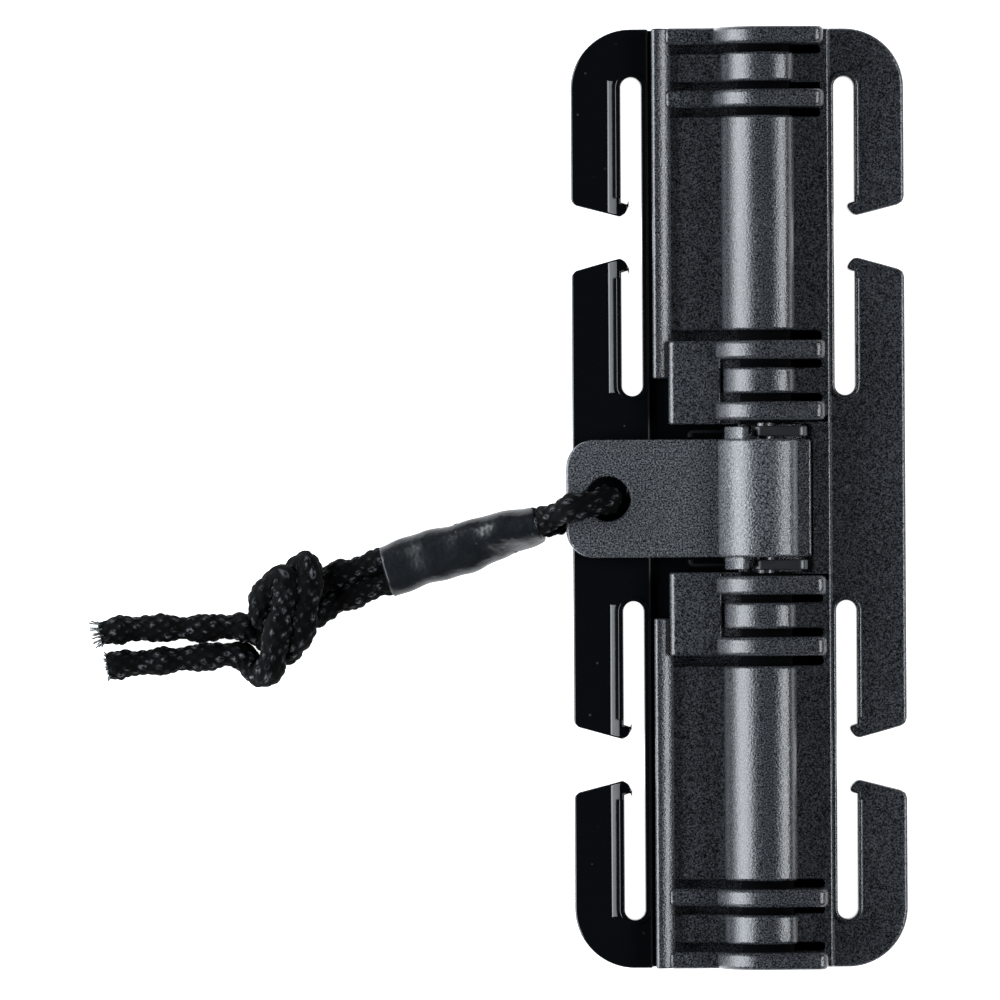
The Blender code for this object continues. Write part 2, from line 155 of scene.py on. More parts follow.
def slab(outline: Sequence[Point2], span: Span, run: Run = Run.UP) -> Obj:
    """Carry a closed outline through a span.

    Args:
        outline: XY points for Run.UP, XZ points for Run.ALONG_PIN.
        span: Where the solid starts and ends.
        run: The way the outline is carried.

    Returns:
        A closed solid with sharp edges.
    """
    mesh = bmesh.new()
    rings = []
    for level in span:
        if run is Run.UP:
            rings.append([mesh.verts.new((x * MM, y * MM, level * MM)) for x, y in outline])
        else:
            rings.append([mesh.verts.new((x * MM, level * MM, z * MM)) for x, z in outline])
    mesh.faces.new(rings[0])
    mesh.faces.new(rings[1])
    for index in range(len(outline)):
        after = (index + 1) % len(outline)
        mesh.faces.new((rings[0][index], rings[0][after], rings[1][after], rings[1][index]))
    return object_from("shell", mesh)


def block(x_span: Span, y_span: Span, z_span: Span) -> Obj:
    """Give a closed box between two corners, for cutting or for a plain internal shell."""
    corners = [(x, y) for x in x_span for y in y_span]
    return slab([corners[0], corners[2], corners[3], corners[1]], z_span)


def settle(item: Obj) -> None:
    """Apply every modifier of an object to its mesh.

    Args:
        item: The object, whose mesh is replaced.
    """
    graph = bpy.context.evaluated_depsgraph_get()
    shape = bpy.data.meshes.new_from_object(item.evaluated_get(graph))
    item.modifiers.clear()
    item.data = shape


def boolean(item: Obj, others: Iterable[Obj], operation: str) -> Obj:
    """Join, cut or intersect a solid with helper solids and drop the helpers.

    Args:
        item: The solid that is changed.
        others: The helper solids.
        operation: UNION, DIFFERENCE or INTERSECT.

    Returns:
        The changed solid.
    """
    helpers = list(others)
    for helper in helpers:
        change = item.modifiers.new("solid_work", "BOOLEAN")
        change.operation = operation
        change.solver = "EXACT"
        change.object = helper
    settle(item)
    for helper in helpers:
        bpy.data.objects.remove(helper, do_unlink=True)
    return item


def soften(item: Obj, width: float, segments: int = 3, angle: float = 28.0) -> Obj:
    """Round the outer edges of a solid, as a mould does; inner corners stay sharp.

    Args:
        item: The solid.
        width: Width of the rounding in millimetres.
        segments: Faces across the rounding.
        angle: Edges that turn by less than this, in degrees, stay as they are.

    Returns:
        The same solid.
    """
    mesh = bmesh.new()
    mesh.from_mesh(item.data)
    weight = mesh.edges.layers.float.new("bevel_weight_edge")
    for edge in mesh.edges:
        turn = edge.calc_face_angle_signed(0.0)
        edge[weight] = 1.0 if turn > math.radians(angle) else 0.0
    mesh.to_mesh(item.data)
    mesh.free()
    bevel = item.modifiers.new("mould_radius", "BEVEL")
    bevel.width = width * MM
    bevel.segments = segments
    bevel.limit_method = "WEIGHT"
    bevel.use_clamp_overlap = False
    bevel.miter_outer = "MITER_ARC"
    settle(item)
    return item


def weld(name: str, shells: Sequence[Obj]) -> Obj:
    """Gather shells into one object.

    Args:
        name: Name of the piece.
        shells: The shells, which are removed.

    Returns:
        The piece.
    """
    mesh = bmesh.new()
    for shell in shells:
        mesh.from_mesh(shell.data)
        bpy.data.objects.remove(shell, do_unlink=True)
    data = bpy.data.meshes.new(name)
    mesh.to_mesh(data)
    mesh.free()
    return linked(name, data)


def polish(item: Obj, smooth: float = 50.0) -> Obj:
    """Shade a piece smoothly over its roundings and keep its flats flat.

    Args:
        item: The piece.
        smooth: Edges that turn by more than this, in degrees, stay sharp.

    Returns:
        The same piece.
    """
    item.data.shade_smooth()
    item.data.set_sharp_from_angle(angle=math.radians(smooth))
    weighted = item.modifiers.new("flat_faces_lead", "WEIGHTED_NORMAL")
    weighted.keep_sharp = True
    weighted.weight = 80
    settle(item)
    return item


def dress(item: Obj, finish: bpy.types.Material, body: Body, nodes: Sequence[str]) -> Obj:
    """Give a piece its finish and its place on the frame.

    Args:
        item: The piece, in the buckle's own coordinates.
        finish: Its material.
        body: The body it moves with.
        nodes: The CAD nodes it stands for.

    Returns:
        The same piece.
    """
    item.data.transform(Matrix.Translation(FRAME_SHIFT * MM))
    item.data.materials.clear()
    item.data.materials.append(finish)
    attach(item, body.value)
    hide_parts(*nodes)
    LOG.info("%s: %d faces", item.name, len(item.data.polygons))
    return item


def smooth_route(route: Sequence[Sequence[float]], spacing: float) -> list[Vector]:
    """Give evenly spaced points on a smooth curve through a route.

    Args:
        route: The points that the curve goes through.
        spacing: Wanted distance between points.

    Returns:
        The points, both ends of the route included.
    """
    knots = [Vector(point) for point in route]
    padded = [2 * knots[0] - knots[1], *knots, 2 * knots[-1] - knots[-2]]
    fine = []
    for index in range(1, len(padded) - 2):
        before, start, end, after = padded[index - 1:index + 3]
        for step in range(12):
            t = step / 12
            bend = 2 * before - 5 * start + 4 * end - after
            twist = 3 * start - before - 3 * end + after
            fine.append(0.5 * (2 * start + (end - before) * t + bend * t * t + twist * t ** 3))
    fine.append(knots[-1])
    reach = [0.0]
    for start, end in zip(fine, fine[1:]):
        reach.append(reach[-1] + (end - start).length)
    count = max(2, round(reach[-1] / spacing))
    points = []
    index = 0
    for step in range(count + 1):
        target = reach[-1] * step / count
        while index < len(reach) - 2 and reach[index + 1] < target:
            index += 1
        share = (target - reach[index]) / (reach[index + 1] - reach[index])
        points.append(fine[index].lerp(fine[index + 1], share))
    return points


def carried_frames(points: Sequence[Vector]) -> list[tuple[Vector, Vector]]:
    """Give two cross directions at each point of a line, without twist along it.

    Args:
        points: The line.

    Returns:
        For each point the sideways and the upward direction.
    """
    frames = []
    up = Vector((0.0, 0.0, 1.0))
    for index in range(len(points)):
        before = points[max(0, index - 1)]
        after = points[min(len(points) - 1, index + 1)]
        run = (after - before).normalized()
        side = up.cross(run)
        if side.length < 1e-6:
            side = Vector((0.0, 1.0, 0.0))
        side.normalize()
        up = run.cross(side).normalized()
        frames.append((side, up.copy()))
    return frames


def tube_mesh(name: str, rings: Sequence[Sequence[Vector]]) -> Obj:
    """Join rings of points into a closed tube.

    Args:
        name: Name of the object.
        rings: Rings of as many points each, in millimetres.

    Returns:
        The tube.
    """
    mesh = bmesh.new()
    made = [[mesh.verts.new(point * MM) for point in ring] for ring in rings]
    for first, second in zip(made, made[1:]):
        for index in range(len(first)):
            after = (index + 1) % len(first)
            mesh.faces.new((first[index], first[after], second[after], second[index]))
    mesh.faces.new(made[0])
    mesh.faces.new(made[-1])
    return object_from(name, mesh)


# ---------------------------------------------------------------------------------------------
# Shader work
# ---------------------------------------------------------------------------------------------
class Bench:
    """A node tree with short calls for adding and joining nodes."""

    def __init__(self, tree: bpy.types.NodeTree) -> None:
        """Keep the tree that the calls work on."""
        self.tree = tree

    def add(self, kind: str, **values: object) -> bpy.types.Node:
        """Add a node.

        Args:
            kind: Type name of the node without its ShaderNode prefix.
            **values: Properties of the node.

        Returns:
            The node.
        """
        node = self.tree.nodes.new(f"ShaderNode{kind}")
        for key, value in values.items():
            setattr(node, key, value)
        return node

    def feed(self, node: bpy.types.Node, socket: int | str, source: object) -> None:
        """Set a socket to a value, or link it to another node's output.

        Args:
            node: The node whose socket is fed.
            socket: Number or name of the socket.
            source: A value, or the output that feeds the socket.
        """
        if isinstance(source, bpy.types.NodeSocket):
            self.tree.links.new(source, node.inputs[socket])
        else:
            node.inputs[socket].default_value = source

    def math(self, operation: str, first: object, second: object) -> bpy.types.NodeSocket:
        """Add a Math node.

        Args:
            operation: What it works out.
            first: Its first value.
            second: Its second value.

        Returns:
            Its output.
        """
        node = self.add("Math", operation=operation)
        self.feed(node, 0, first)
        self.feed(node, 1, second)
        return node.outputs[0]

    def ramp(self, source: bpy.types.NodeSocket, low: float, high: float,
             to: Span = (0.0, 1.0)) -> bpy.types.NodeSocket:
        """Add a clamped Map Range node.

        Args:
            source: The value that is mapped.
            low: The value that becomes the low end.
            high: The value that becomes the high end.
            to: The low and the high end.

        Returns:
            Its output.
        """
        node = self.add("MapRange", clamp=True)
        for index, value in enumerate((source, low, high, *to)):
            self.feed(node, index, value)
        return node.outputs[0]

    def noise(self, where: bpy.types.NodeSocket, scale: object, detail: float,
              rough: float = 0.5) -> bpy.types.NodeSocket:
        """Add a Noise Texture.

        Args:
            where: The place that it is read at.
            scale: Its fineness.
            detail: How many finer layers it has.
            rough: How strong the finer layers are.

        Returns:
            Its value.
        """
        node = self.add("TexNoise")
        self.feed(node, "Vector", where)
        self.feed(node, "Scale", scale)
        self.feed(node, "Detail", detail)
        self.feed(node, "Roughness", rough)
        return node.outputs["Fac"]

    def blend(self, share: object, first: object, second: object) -> bpy.types.NodeSocket:
        """Add a colour Mix node.

        Args:
            share: How much of the second colour there is.
            first: The first colour.
            second: The second colour.

        Returns:
            Its colour.
        """
        node = self.add("Mix", data_type="RGBA")
        self.feed(node, 0, share)
        self.feed(node, 6, first)
        self.feed(node, 7, second)
        return node.outputs[2]

    def cells(self, where: bpy.types.NodeSocket, scale: object) -> bpy.types.NodeSocket:
        """Add a Voronoi Texture.

        Args:
            where: The place that it is read at.
            scale: Its fineness.

        Returns:
            The distance from the middle of the nearest cell.
        """
        node = self.add("TexVoronoi")
        self.feed(node, "Vector", where)
        self.feed(node, "Scale", scale)
        return node.outputs[0]

    def stretched(self, where: bpy.types.NodeSocket, scale: Sequence[float]) -> bpy.types.NodeSocket:
        """Add a Mapping node that only scales.

        Args:
            where: The place that is scaled.
            scale: Its three scales.

        Returns:
            The scaled place.
        """
        node = self.add("Mapping")
        self.feed(node, "Vector", where)
        self.feed(node, "Scale", scale)
        return node.outputs[0]

    def relief(self, shader: bpy.types.Node, height: bpy.types.NodeSocket, strength: float,
               depth: float) -> None:
        """Give a shader a bumpy surface.

        Args:
            shader: The shader.
            height: The height that is shown.
            strength: Share of the relief that is used.
            depth: Depth of the relief in millimetres.
        """
        bump = self.add("Bump")
        self.feed(bump, "Strength", strength)
        self.feed(bump, "Distance", depth * MM)
        self.feed(bump, "Height", height)
        self.feed(shader, "Normal", bump.outputs[0])


def new_group(name: str, inputs: dict[str, float], outputs: Sequence[str]) -> tuple[Bench, dict, dict]:
    """Start a shader node group of plain numbers.

    Args:
        name: Name of the group.
        inputs: Names and standing values of its inputs.
        outputs: Names of its outputs.

    Returns:
        Its bench, its input sockets by name and its output sockets by name.
    """
    tree = bpy.data.node_groups.new(name, "ShaderNodeTree")
    for key, value in inputs.items():
        socket = tree.interface.new_socket(name=key, in_out="INPUT", socket_type="NodeSocketFloat")
        socket.default_value = value
    for key in outputs:
        tree.interface.new_socket(name=key, in_out="OUTPUT", socket_type="NodeSocketFloat")
    way_in = tree.nodes.new("NodeGroupInput")
    way_out = tree.nodes.new("NodeGroupOutput")
    sources = {key: way_in.outputs[key] for key in inputs}
    return Bench(tree), sources, {key: way_out.inputs[key] for key in outputs}


class Effects:
    """The surface effects that several finishes share."""

    def __init__(self) -> None:
        """Build each effect once."""
        self.grain = self._moulded_grain()
        self.wear = self._handling_wear()
        self.dust = self._settled_dust()

    @staticmethod
    def _moulded_grain() -> bpy.types.NodeTree:
        """Build the leathery texture of the mould.

        Returns:
            A group that puts out its height and a mask of the grains that are painted lighter as glints.
        """
        inputs = {"Fineness": 3000.0, "Speckle": 8500.0}
        bench, given, out = new_group("moulded_grain", inputs, ("Height", "GlintGrains"))
        where = bench.add("TexCoord").outputs["Object"]
        large = bench.math("MULTIPLY", bench.noise(where, given["Fineness"], 3.0, 0.62), 1.1)
        cells = bench.cells(where, bench.math("MULTIPLY", given["Fineness"], 0.9))
        mixed = bench.math("ADD", large, bench.math("MULTIPLY", cells, 0.45))
        bench.tree.links.new(mixed, out["Height"])
        # Painted glints: small grains that the finishes colour lighter, as if they caught the lamps.
        fine = bench.noise(where, given["Speckle"], 3.0, 0.7)
        bench.tree.links.new(bench.ramp(fine, 0.42, 0.7), out["GlintGrains"])
        return bench.tree

    @staticmethod
    def _handling_wear() -> bpy.types.NodeTree:
        """Build the uneven shine from handling, a slow mottle with fine streaks from rubbing along the pin.

        Returns:
            A group that puts out its mask.
        """
        bench, given, out = new_group("handling_wear", {"Mottle": 160.0, "Streaks": 900.0}, ("Mask",))
        where = bench.add("TexCoord").outputs["Object"]
        slow = bench.ramp(bench.noise(where, given["Mottle"], 3.0), 0.4, 0.7)
        along_pin = bench.stretched(where, (1.0, 0.16, 1.0))
        fine = bench.ramp(bench.noise(along_pin, given["Streaks"], 2.0), 0.5, 0.8)
        both = bench.math("ADD", bench.math("MULTIPLY", slow, 0.7), bench.math("MULTIPLY", fine, 0.3))
        bench.tree.links.new(both, out["Mask"])
        return bench.tree

    @staticmethod
    def _settled_dust() -> bpy.types.NodeTree:
        """Build a few specks of dust on the faces that look up.

        Returns:
            A group that puts out their mask.
        """
        bench, given, out = new_group("settled_dust", {"Specks": 700.0, "Reach": 0.09}, ("Mask",))
        where = bench.add("TexCoord").outputs["Object"]
        speck = bench.math("LESS_THAN", bench.cells(where, given["Specks"]), given["Reach"])
        split = bench.add("SeparateXYZ")
        bench.feed(split, 0, bench.add("NewGeometry").outputs["Normal"])
        patch = bench.ramp(bench.noise(where, 240.0, 2.0), 0.5, 0.62)
        up = bench.ramp(split.outputs[2], 0.6, 0.9)
        bench.tree.links.new(bench.math("MULTIPLY", bench.math("MULTIPLY", speck, patch), up), out["Mask"])
        return bench.tree


def start_material(name: str) -> tuple[bpy.types.Material, Bench, bpy.types.Node]:
    """Start a material.

    Args:
        name: Name of the material.

    Returns:
        The material, its bench and its shader.
    """
    material = bpy.data.materials.new(name)
    material.use_nodes = True
    return material, Bench(material.node_tree), material.node_tree.nodes["Principled BSDF"]


def place_group(bench: Bench, group: bpy.types.NodeTree, **values: float) -> bpy.types.Node:
    """Place a shared effect in a material.

    Args:
        bench: The material's bench.
        group: The effect.
        **values: Its inputs in this material, by name.

    Returns:
        The placed effect.
    """
    node = bench.add("Group", node_tree=group)
    for key, value in values.items():
        bench.feed(node, key, value)
    return node


@dataclass(frozen=True)
class MouldedPlastic:
    """Injection-moulded plastic, from glossy to leathery."""

    name: str
    colour: Colour
    glint_and_grain_tone: Colour
    roughness: Span
    fineness: float
    depth: float
    level: float = 0.5
    dusty: float = 0.25
    speckle: float = 8500.0
    satin_faces: str = ""
    satin_gain: float = 0.27
    dust_colour: Colour = (0.25, 0.25, 0.25)

    def build(self, effects: Effects) -> bpy.types.Material:
        """Make the material.

        Args:
            effects: The shared node groups.

        Returns:
            The material.
        """
        material, bench, shader = start_material(self.name)
        grain = place_group(bench, effects.grain, Fineness=self.fineness, Speckle=self.speckle)
        wear = place_group(bench, effects.wear)
        dust = place_group(bench, effects.dust)
        # Lighter grains: painted glints on the leathery mouldings, standing in for the grain catching the
        # lamps; on the other finishes a lighter tone of the grain.
        glint_and_grain_tint = bench.blend(grain.outputs["GlintGrains"], (*self.colour, 1.0), (*self.glint_and_grain_tone, 1.0))
        shade = bench.math("MULTIPLY", dust.outputs["Mask"], self.dusty)
        bench.feed(shader, "Base Color", bench.blend(shade, glint_and_grain_tint, (*self.dust_colour, 1.0)))
        rough = bench.ramp(wear.outputs["Mask"], 0.0, 1.0, self.roughness)
        if self.satin_faces:
            satin = bench.add("Attribute", attribute_name=self.satin_faces)
            rough = bench.math("ADD", rough, bench.math("MULTIPLY", satin.outputs["Fac"], self.satin_gain))
        bench.feed(shader, "Roughness", rough)
        bench.feed(shader, "Specular IOR Level", self.level)
        bench.relief(shader, grain.outputs["Height"], 1.0, self.depth)
        return material


@dataclass(frozen=True)
class DrawnSteel:
    """Darkened steel, as a ground pin or as drawn wire."""

    name: str
    colour: Colour
    dull: Colour
    roughness: Span

    def build(self, effects: Effects) -> bpy.types.Material:
        """Make the material.

        Args:
            effects: The shared node groups.

        Returns:
            The material.
        """
        material, bench, shader = start_material(self.name)
        wear = place_group(bench, effects.wear, Mottle=900.0, Streaks=6000.0)
        tint = bench.blend(wear.outputs["Mask"], (*self.colour, 1.0), (*self.dull, 1.0))
        bench.feed(shader, "Base Color", tint)
        bench.feed(shader, "Metallic", 1.0)
        bench.feed(shader, "Roughness", bench.ramp(wear.outputs["Mask"], 0.0, 1.0, self.roughness))
        return material


@dataclass(frozen=True)
class BraidedNylon:
    """Black braided nylon with its filaments showing on each pick, the tops of the picks painted lighter as
    glints.
    """

    name: str = "black_braided_nylon"
    dark: Colour = (0.0004, 0.0004, 0.0005)
    # Colour of the painted glints on the tops of the picks.
    light: Colour = (0.09, 0.093, 0.1)
    dust_colour: Colour = (0.2, 0.2, 0.21)
    filament_scale: Point3 = (1.7, 2.8, 1.0)
    filament_depth: float = 0.06

    def build(self, effects: Effects) -> bpy.types.Material:
        """Make the material; filament lines follow the cord's own map.

        Args:
            effects: The shared node groups.

        Returns:
            The material.
        """
        material, bench, shader = start_material(self.name)
        along = bench.add("UVMap", uv_map="cord").outputs[0]
        line = bench.noise(bench.stretched(along, self.filament_scale), 1.6, 3.0)
        pick = bench.add("Attribute", attribute_name="pick").outputs["Fac"]
        # Painted glints: the tops of the picks, along the filament lines, are coloured lighter as if they
        # caught the lamps; the rest keeps the black of the dye.
        lit = bench.math("MULTIPLY", bench.ramp(pick, 0.4, 0.85), bench.ramp(line, 0.42, 0.6))
        lit = bench.math("MULTIPLY", lit, bench.ramp(bench.noise(along, 1.1, 2.0), 0.42, 0.58))
        cloth_with_painted_glints = bench.blend(lit, (*self.dark, 1.0), (*self.light, 1.0))
        dust = place_group(bench, effects.dust, Specks=1500.0, Reach=0.12)
        shade = bench.math("MULTIPLY", dust.outputs["Mask"], 0.1)
        bench.feed(shader, "Base Color", bench.blend(shade, cloth_with_painted_glints, (*self.dust_colour, 1.0)))
        bench.feed(shader, "Roughness", bench.ramp(lit, 0.0, 0.8, (0.85, 0.3)))
        bench.feed(shader, "Specular IOR Level", 0.08)
        bench.relief(shader, line, 0.8, self.filament_depth)
        return material


class Finishes:
    """The buckle's materials."""

    def __init__(self, effects: Effects) -> None:
        """Build each material once.

        Args:
            effects: The shared node groups.
        """
        # The much lighter grain colour of these two leathery finishes is painted glint.
        self.leathery = MouldedPlastic(
            "leathery_black_plastic", colour=(0.002, 0.0022, 0.0025), glint_and_grain_tone=(0.082, 0.089, 0.1),
            roughness=(0.19, 0.27), fineness=4800.0, depth=0.03, speckle=6600.0).build(effects)
        self.coarse = MouldedPlastic(
            "coarse_leathery_black_plastic", colour=(0.003, 0.0032, 0.0036), glint_and_grain_tone=(0.15, 0.161, 0.175),
            roughness=(0.22, 0.3), fineness=4200.0, depth=0.042, speckle=6200.0).build(effects)
        self.glossy = MouldedPlastic(
            "glossy_black_plastic", colour=(0.002, 0.0023, 0.0028), glint_and_grain_tone=(0.0028, 0.0032, 0.004),
            roughness=(0.07, 0.13), fineness=1500.0, depth=0.0015, level=0.42, dusty=0.1,
            satin_faces="chamfer").build(effects)
        # Near black and almost without shine: painted shade for the tube at the bottom of the slits beside
        # the ribs.
        self.groove = MouldedPlastic(
            "painted_shade_groove_plastic", colour=(0.0008, 0.0008, 0.001), glint_and_grain_tone=(0.0015, 0.0015, 0.002),
            roughness=(0.9, 1.0), fineness=1500.0, depth=0.002, level=0.05, dusty=0.0).build(effects)
        self.satin = MouldedPlastic(
            "satin_dark_collar", colour=(0.014, 0.015, 0.017), glint_and_grain_tone=(0.02, 0.021, 0.024),
            roughness=(0.3, 0.4), fineness=2500.0, depth=0.004).build(effects)
        self.shrink = MouldedPlastic(
            "satin_shrink_tube", colour=(0.006, 0.0072, 0.0085), glint_and_grain_tone=(0.009, 0.0105, 0.0125),
            roughness=(0.28, 0.38), fineness=330.0, depth=0.24, level=0.3, dusty=0.5,
            speckle=3000.0).build(effects)
        self.fibre = MouldedPlastic(
            "singed_nylon_fibre", colour=(0.004, 0.004, 0.004), glint_and_grain_tone=(0.16, 0.18, 0.17),
            roughness=(0.4, 0.6), fineness=900.0, depth=0.01).build(effects)
        self.pin = DrawnSteel(
            "blued_pin_steel", colour=(0.16, 0.16, 0.17), dull=(0.1, 0.1, 0.105),
            roughness=(0.35, 0.5)).build(effects)
        self.wire = DrawnSteel(
            "blackened_spring_wire", colour=(0.02, 0.021, 0.023), dull=(0.012, 0.012, 0.014),
            roughness=(0.4, 0.6)).build(effects)
        self.braid = BraidedNylon().build(effects)


# ---------------------------------------------------------------------------------------------
# What both halves and the lever share
# ---------------------------------------------------------------------------------------------
AXLE: Point2 = (2.5, 5.0)
CUT_THROUGH: Span = (-1.0, 12.0)


@dataclass(frozen=True)
class PinRound:
    """A profile round the pin whose right side is rounded tightly and drops straight down."""

    radius: float
    flank_angle: float = 28.0
    flank_radius: float = 1.7

    def angle_at(self, z: float) -> float:
        """Give the angle, in degrees, at which the left side of the round is at a height."""
        return 180.0 - math.degrees(math.asin((z - AXLE[1]) / self.radius))

    def profile(self, foot: float, end: float) -> list[Point2]:
        """Give the profile over the top.

        Args:
            foot: Z where the straight right side starts.
            end: Angle in degrees where the left side ends.

        Returns:
            XZ points from the foot to the left end.
        """
        turn = math.radians(self.flank_angle)
        reach = self.radius - self.flank_radius
        small = (AXLE[0] + reach * math.sin(turn), AXLE[1] + reach * math.cos(turn))
        points = [(small[0] + self.flank_radius, foot)]
        points += arc(small, self.flank_radius, 0.0, 90.0 - self.flank_angle, 14)
        return points + arc(AXLE, self.radius, 90.0 - self.flank_angle, end, 44)[1:]


@dataclass
class SlottedPlate:
    """Plan of one half: a comb of outer arms round two open-sided webbing slots."""

    half_length: float = 45.45
    half_width: float = 16.12
    top: float = 2.8
    corner_radius: float = 5.8
    slot_x: float = 10.3
    slot_half_width: float = 1.0
    slot_near: float = 9.93
    slot_far: float = 40.8
    gap_inner: Span = (23.3, 27.3)
    gap_outer: Span = (22.0, 28.5)
    barb: float = 0.8
    rim_width: float = 0.5
    rim_gap_margin: float = 0.6

    def arm_end(self, inner: float, outer: float, way: float) -> list[Point2]:
        """Give the slanted end of an arm with its lip.

        Args:
            inner: Y of the end at the slot.
            outer: Y of the end at the outer edge.
            way: +1 where the arm runs on to +Y, -1 where it runs back.

        Returns:
            Points from the slot side to the outer side.
        """
        edge = self.slot_x + self.slot_half_width
        return [
            (edge, inner + way * 1.4),
            (edge - self.barb, inner + way * 1.15),
            (edge - 0.55 * self.barb, inner + way * 0.35),
            (edge + 0.1, inner),
            (self.half_width - 0.4, outer - way * 0.1),
            (self.half_width, outer + way * 0.35),
        ]

    def quarter(self) -> list[Point2]:
        """Give the outer edge in the upper right quarter.

        Returns:
            Points from the gap at the middle to the top end.
        """
        width = self.slot_half_width
        corner = (self.half_width - self.corner_radius, self.half_length - self.corner_radius)
        points = list(reversed(self.arm_end(self.gap_inner[0], self.gap_outer[0], -1.0)))
        points += arc((self.slot_x, self.slot_near + width), width, 0.0, -180.0, 16)
        points += arc((self.slot_x, self.slot_far - width), width, 180.0, 0.0, 16)
        points += self.arm_end(self.gap_inner[1], self.gap_outer[1], 1.0)
        return points + arc(corner, self.corner_radius, 0.0, 90.0, 20)

    def slot_plan(self, x: float, radius: float, side: float) -> list[Point2]:
        """Give the round-ended plan of a slot.

        Args:
            x: X of the slot's middle.
            radius: Half the width of the plan.
            side: +1 for the upper slot, -1 for the lower.

        Returns:
            The closed outline.
        """
        near, far = self.slot_near + self.slot_half_width, self.slot_far - self.slot_half_width
        points = arc((x, near), radius, 0.0, -180.0, 20) + arc((x, far), radius, 180.0, 0.0, 20)
        return [(point[0], side * point[1]) for point in points]

    def slot_rim(self, half: float, side: float, rise: float) -> Obj:
        """Give the raised rim round one slot, open at the gap in the arm.

        Args:
            half: +1 for the cover half, -1 for the hook half.
            side: +1 for the upper slot, -1 for the lower.
            rise: Height of the rim over the plate.

        Returns:
            The rounded rim.
        """
        x = half * self.slot_x
        wide = self.slot_plan(x, self.slot_half_width + self.rim_width, side)
        rim = slab(wide, (self.top - 0.5, self.top + rise))
        clear = slab(self.slot_plan(x, self.slot_half_width, side), CUT_THROUGH)
        low, high = sorted((x, x + half * 4.0))
        margin = self.rim_gap_margin
        gap_y = mirrored((self.gap_outer[0] - margin, self.gap_outer[1] + margin), side)
        gap = block((low, high), gap_y, CUT_THROUGH)
        return soften(boolean(rim, [clear, gap], "DIFFERENCE"), 0.9 * rise)

    def outline(self, inner_edge: float, side: float) -> list[Point2]:
        """Give the whole plan of a half.

        Args:
            inner_edge: X of the edge where the plan is closed.
            side: +1 for the cover half, -1 for the hook half.

        Returns:
            The closed outline.
        """
        upper = self.quarter()
        lower = [(x, -y) for x, y in reversed(upper)]
        points = [(inner_edge, -self.half_length)] + lower + upper + [(inner_edge, self.half_length)]
        return [(side * x, y) for x, y in points]


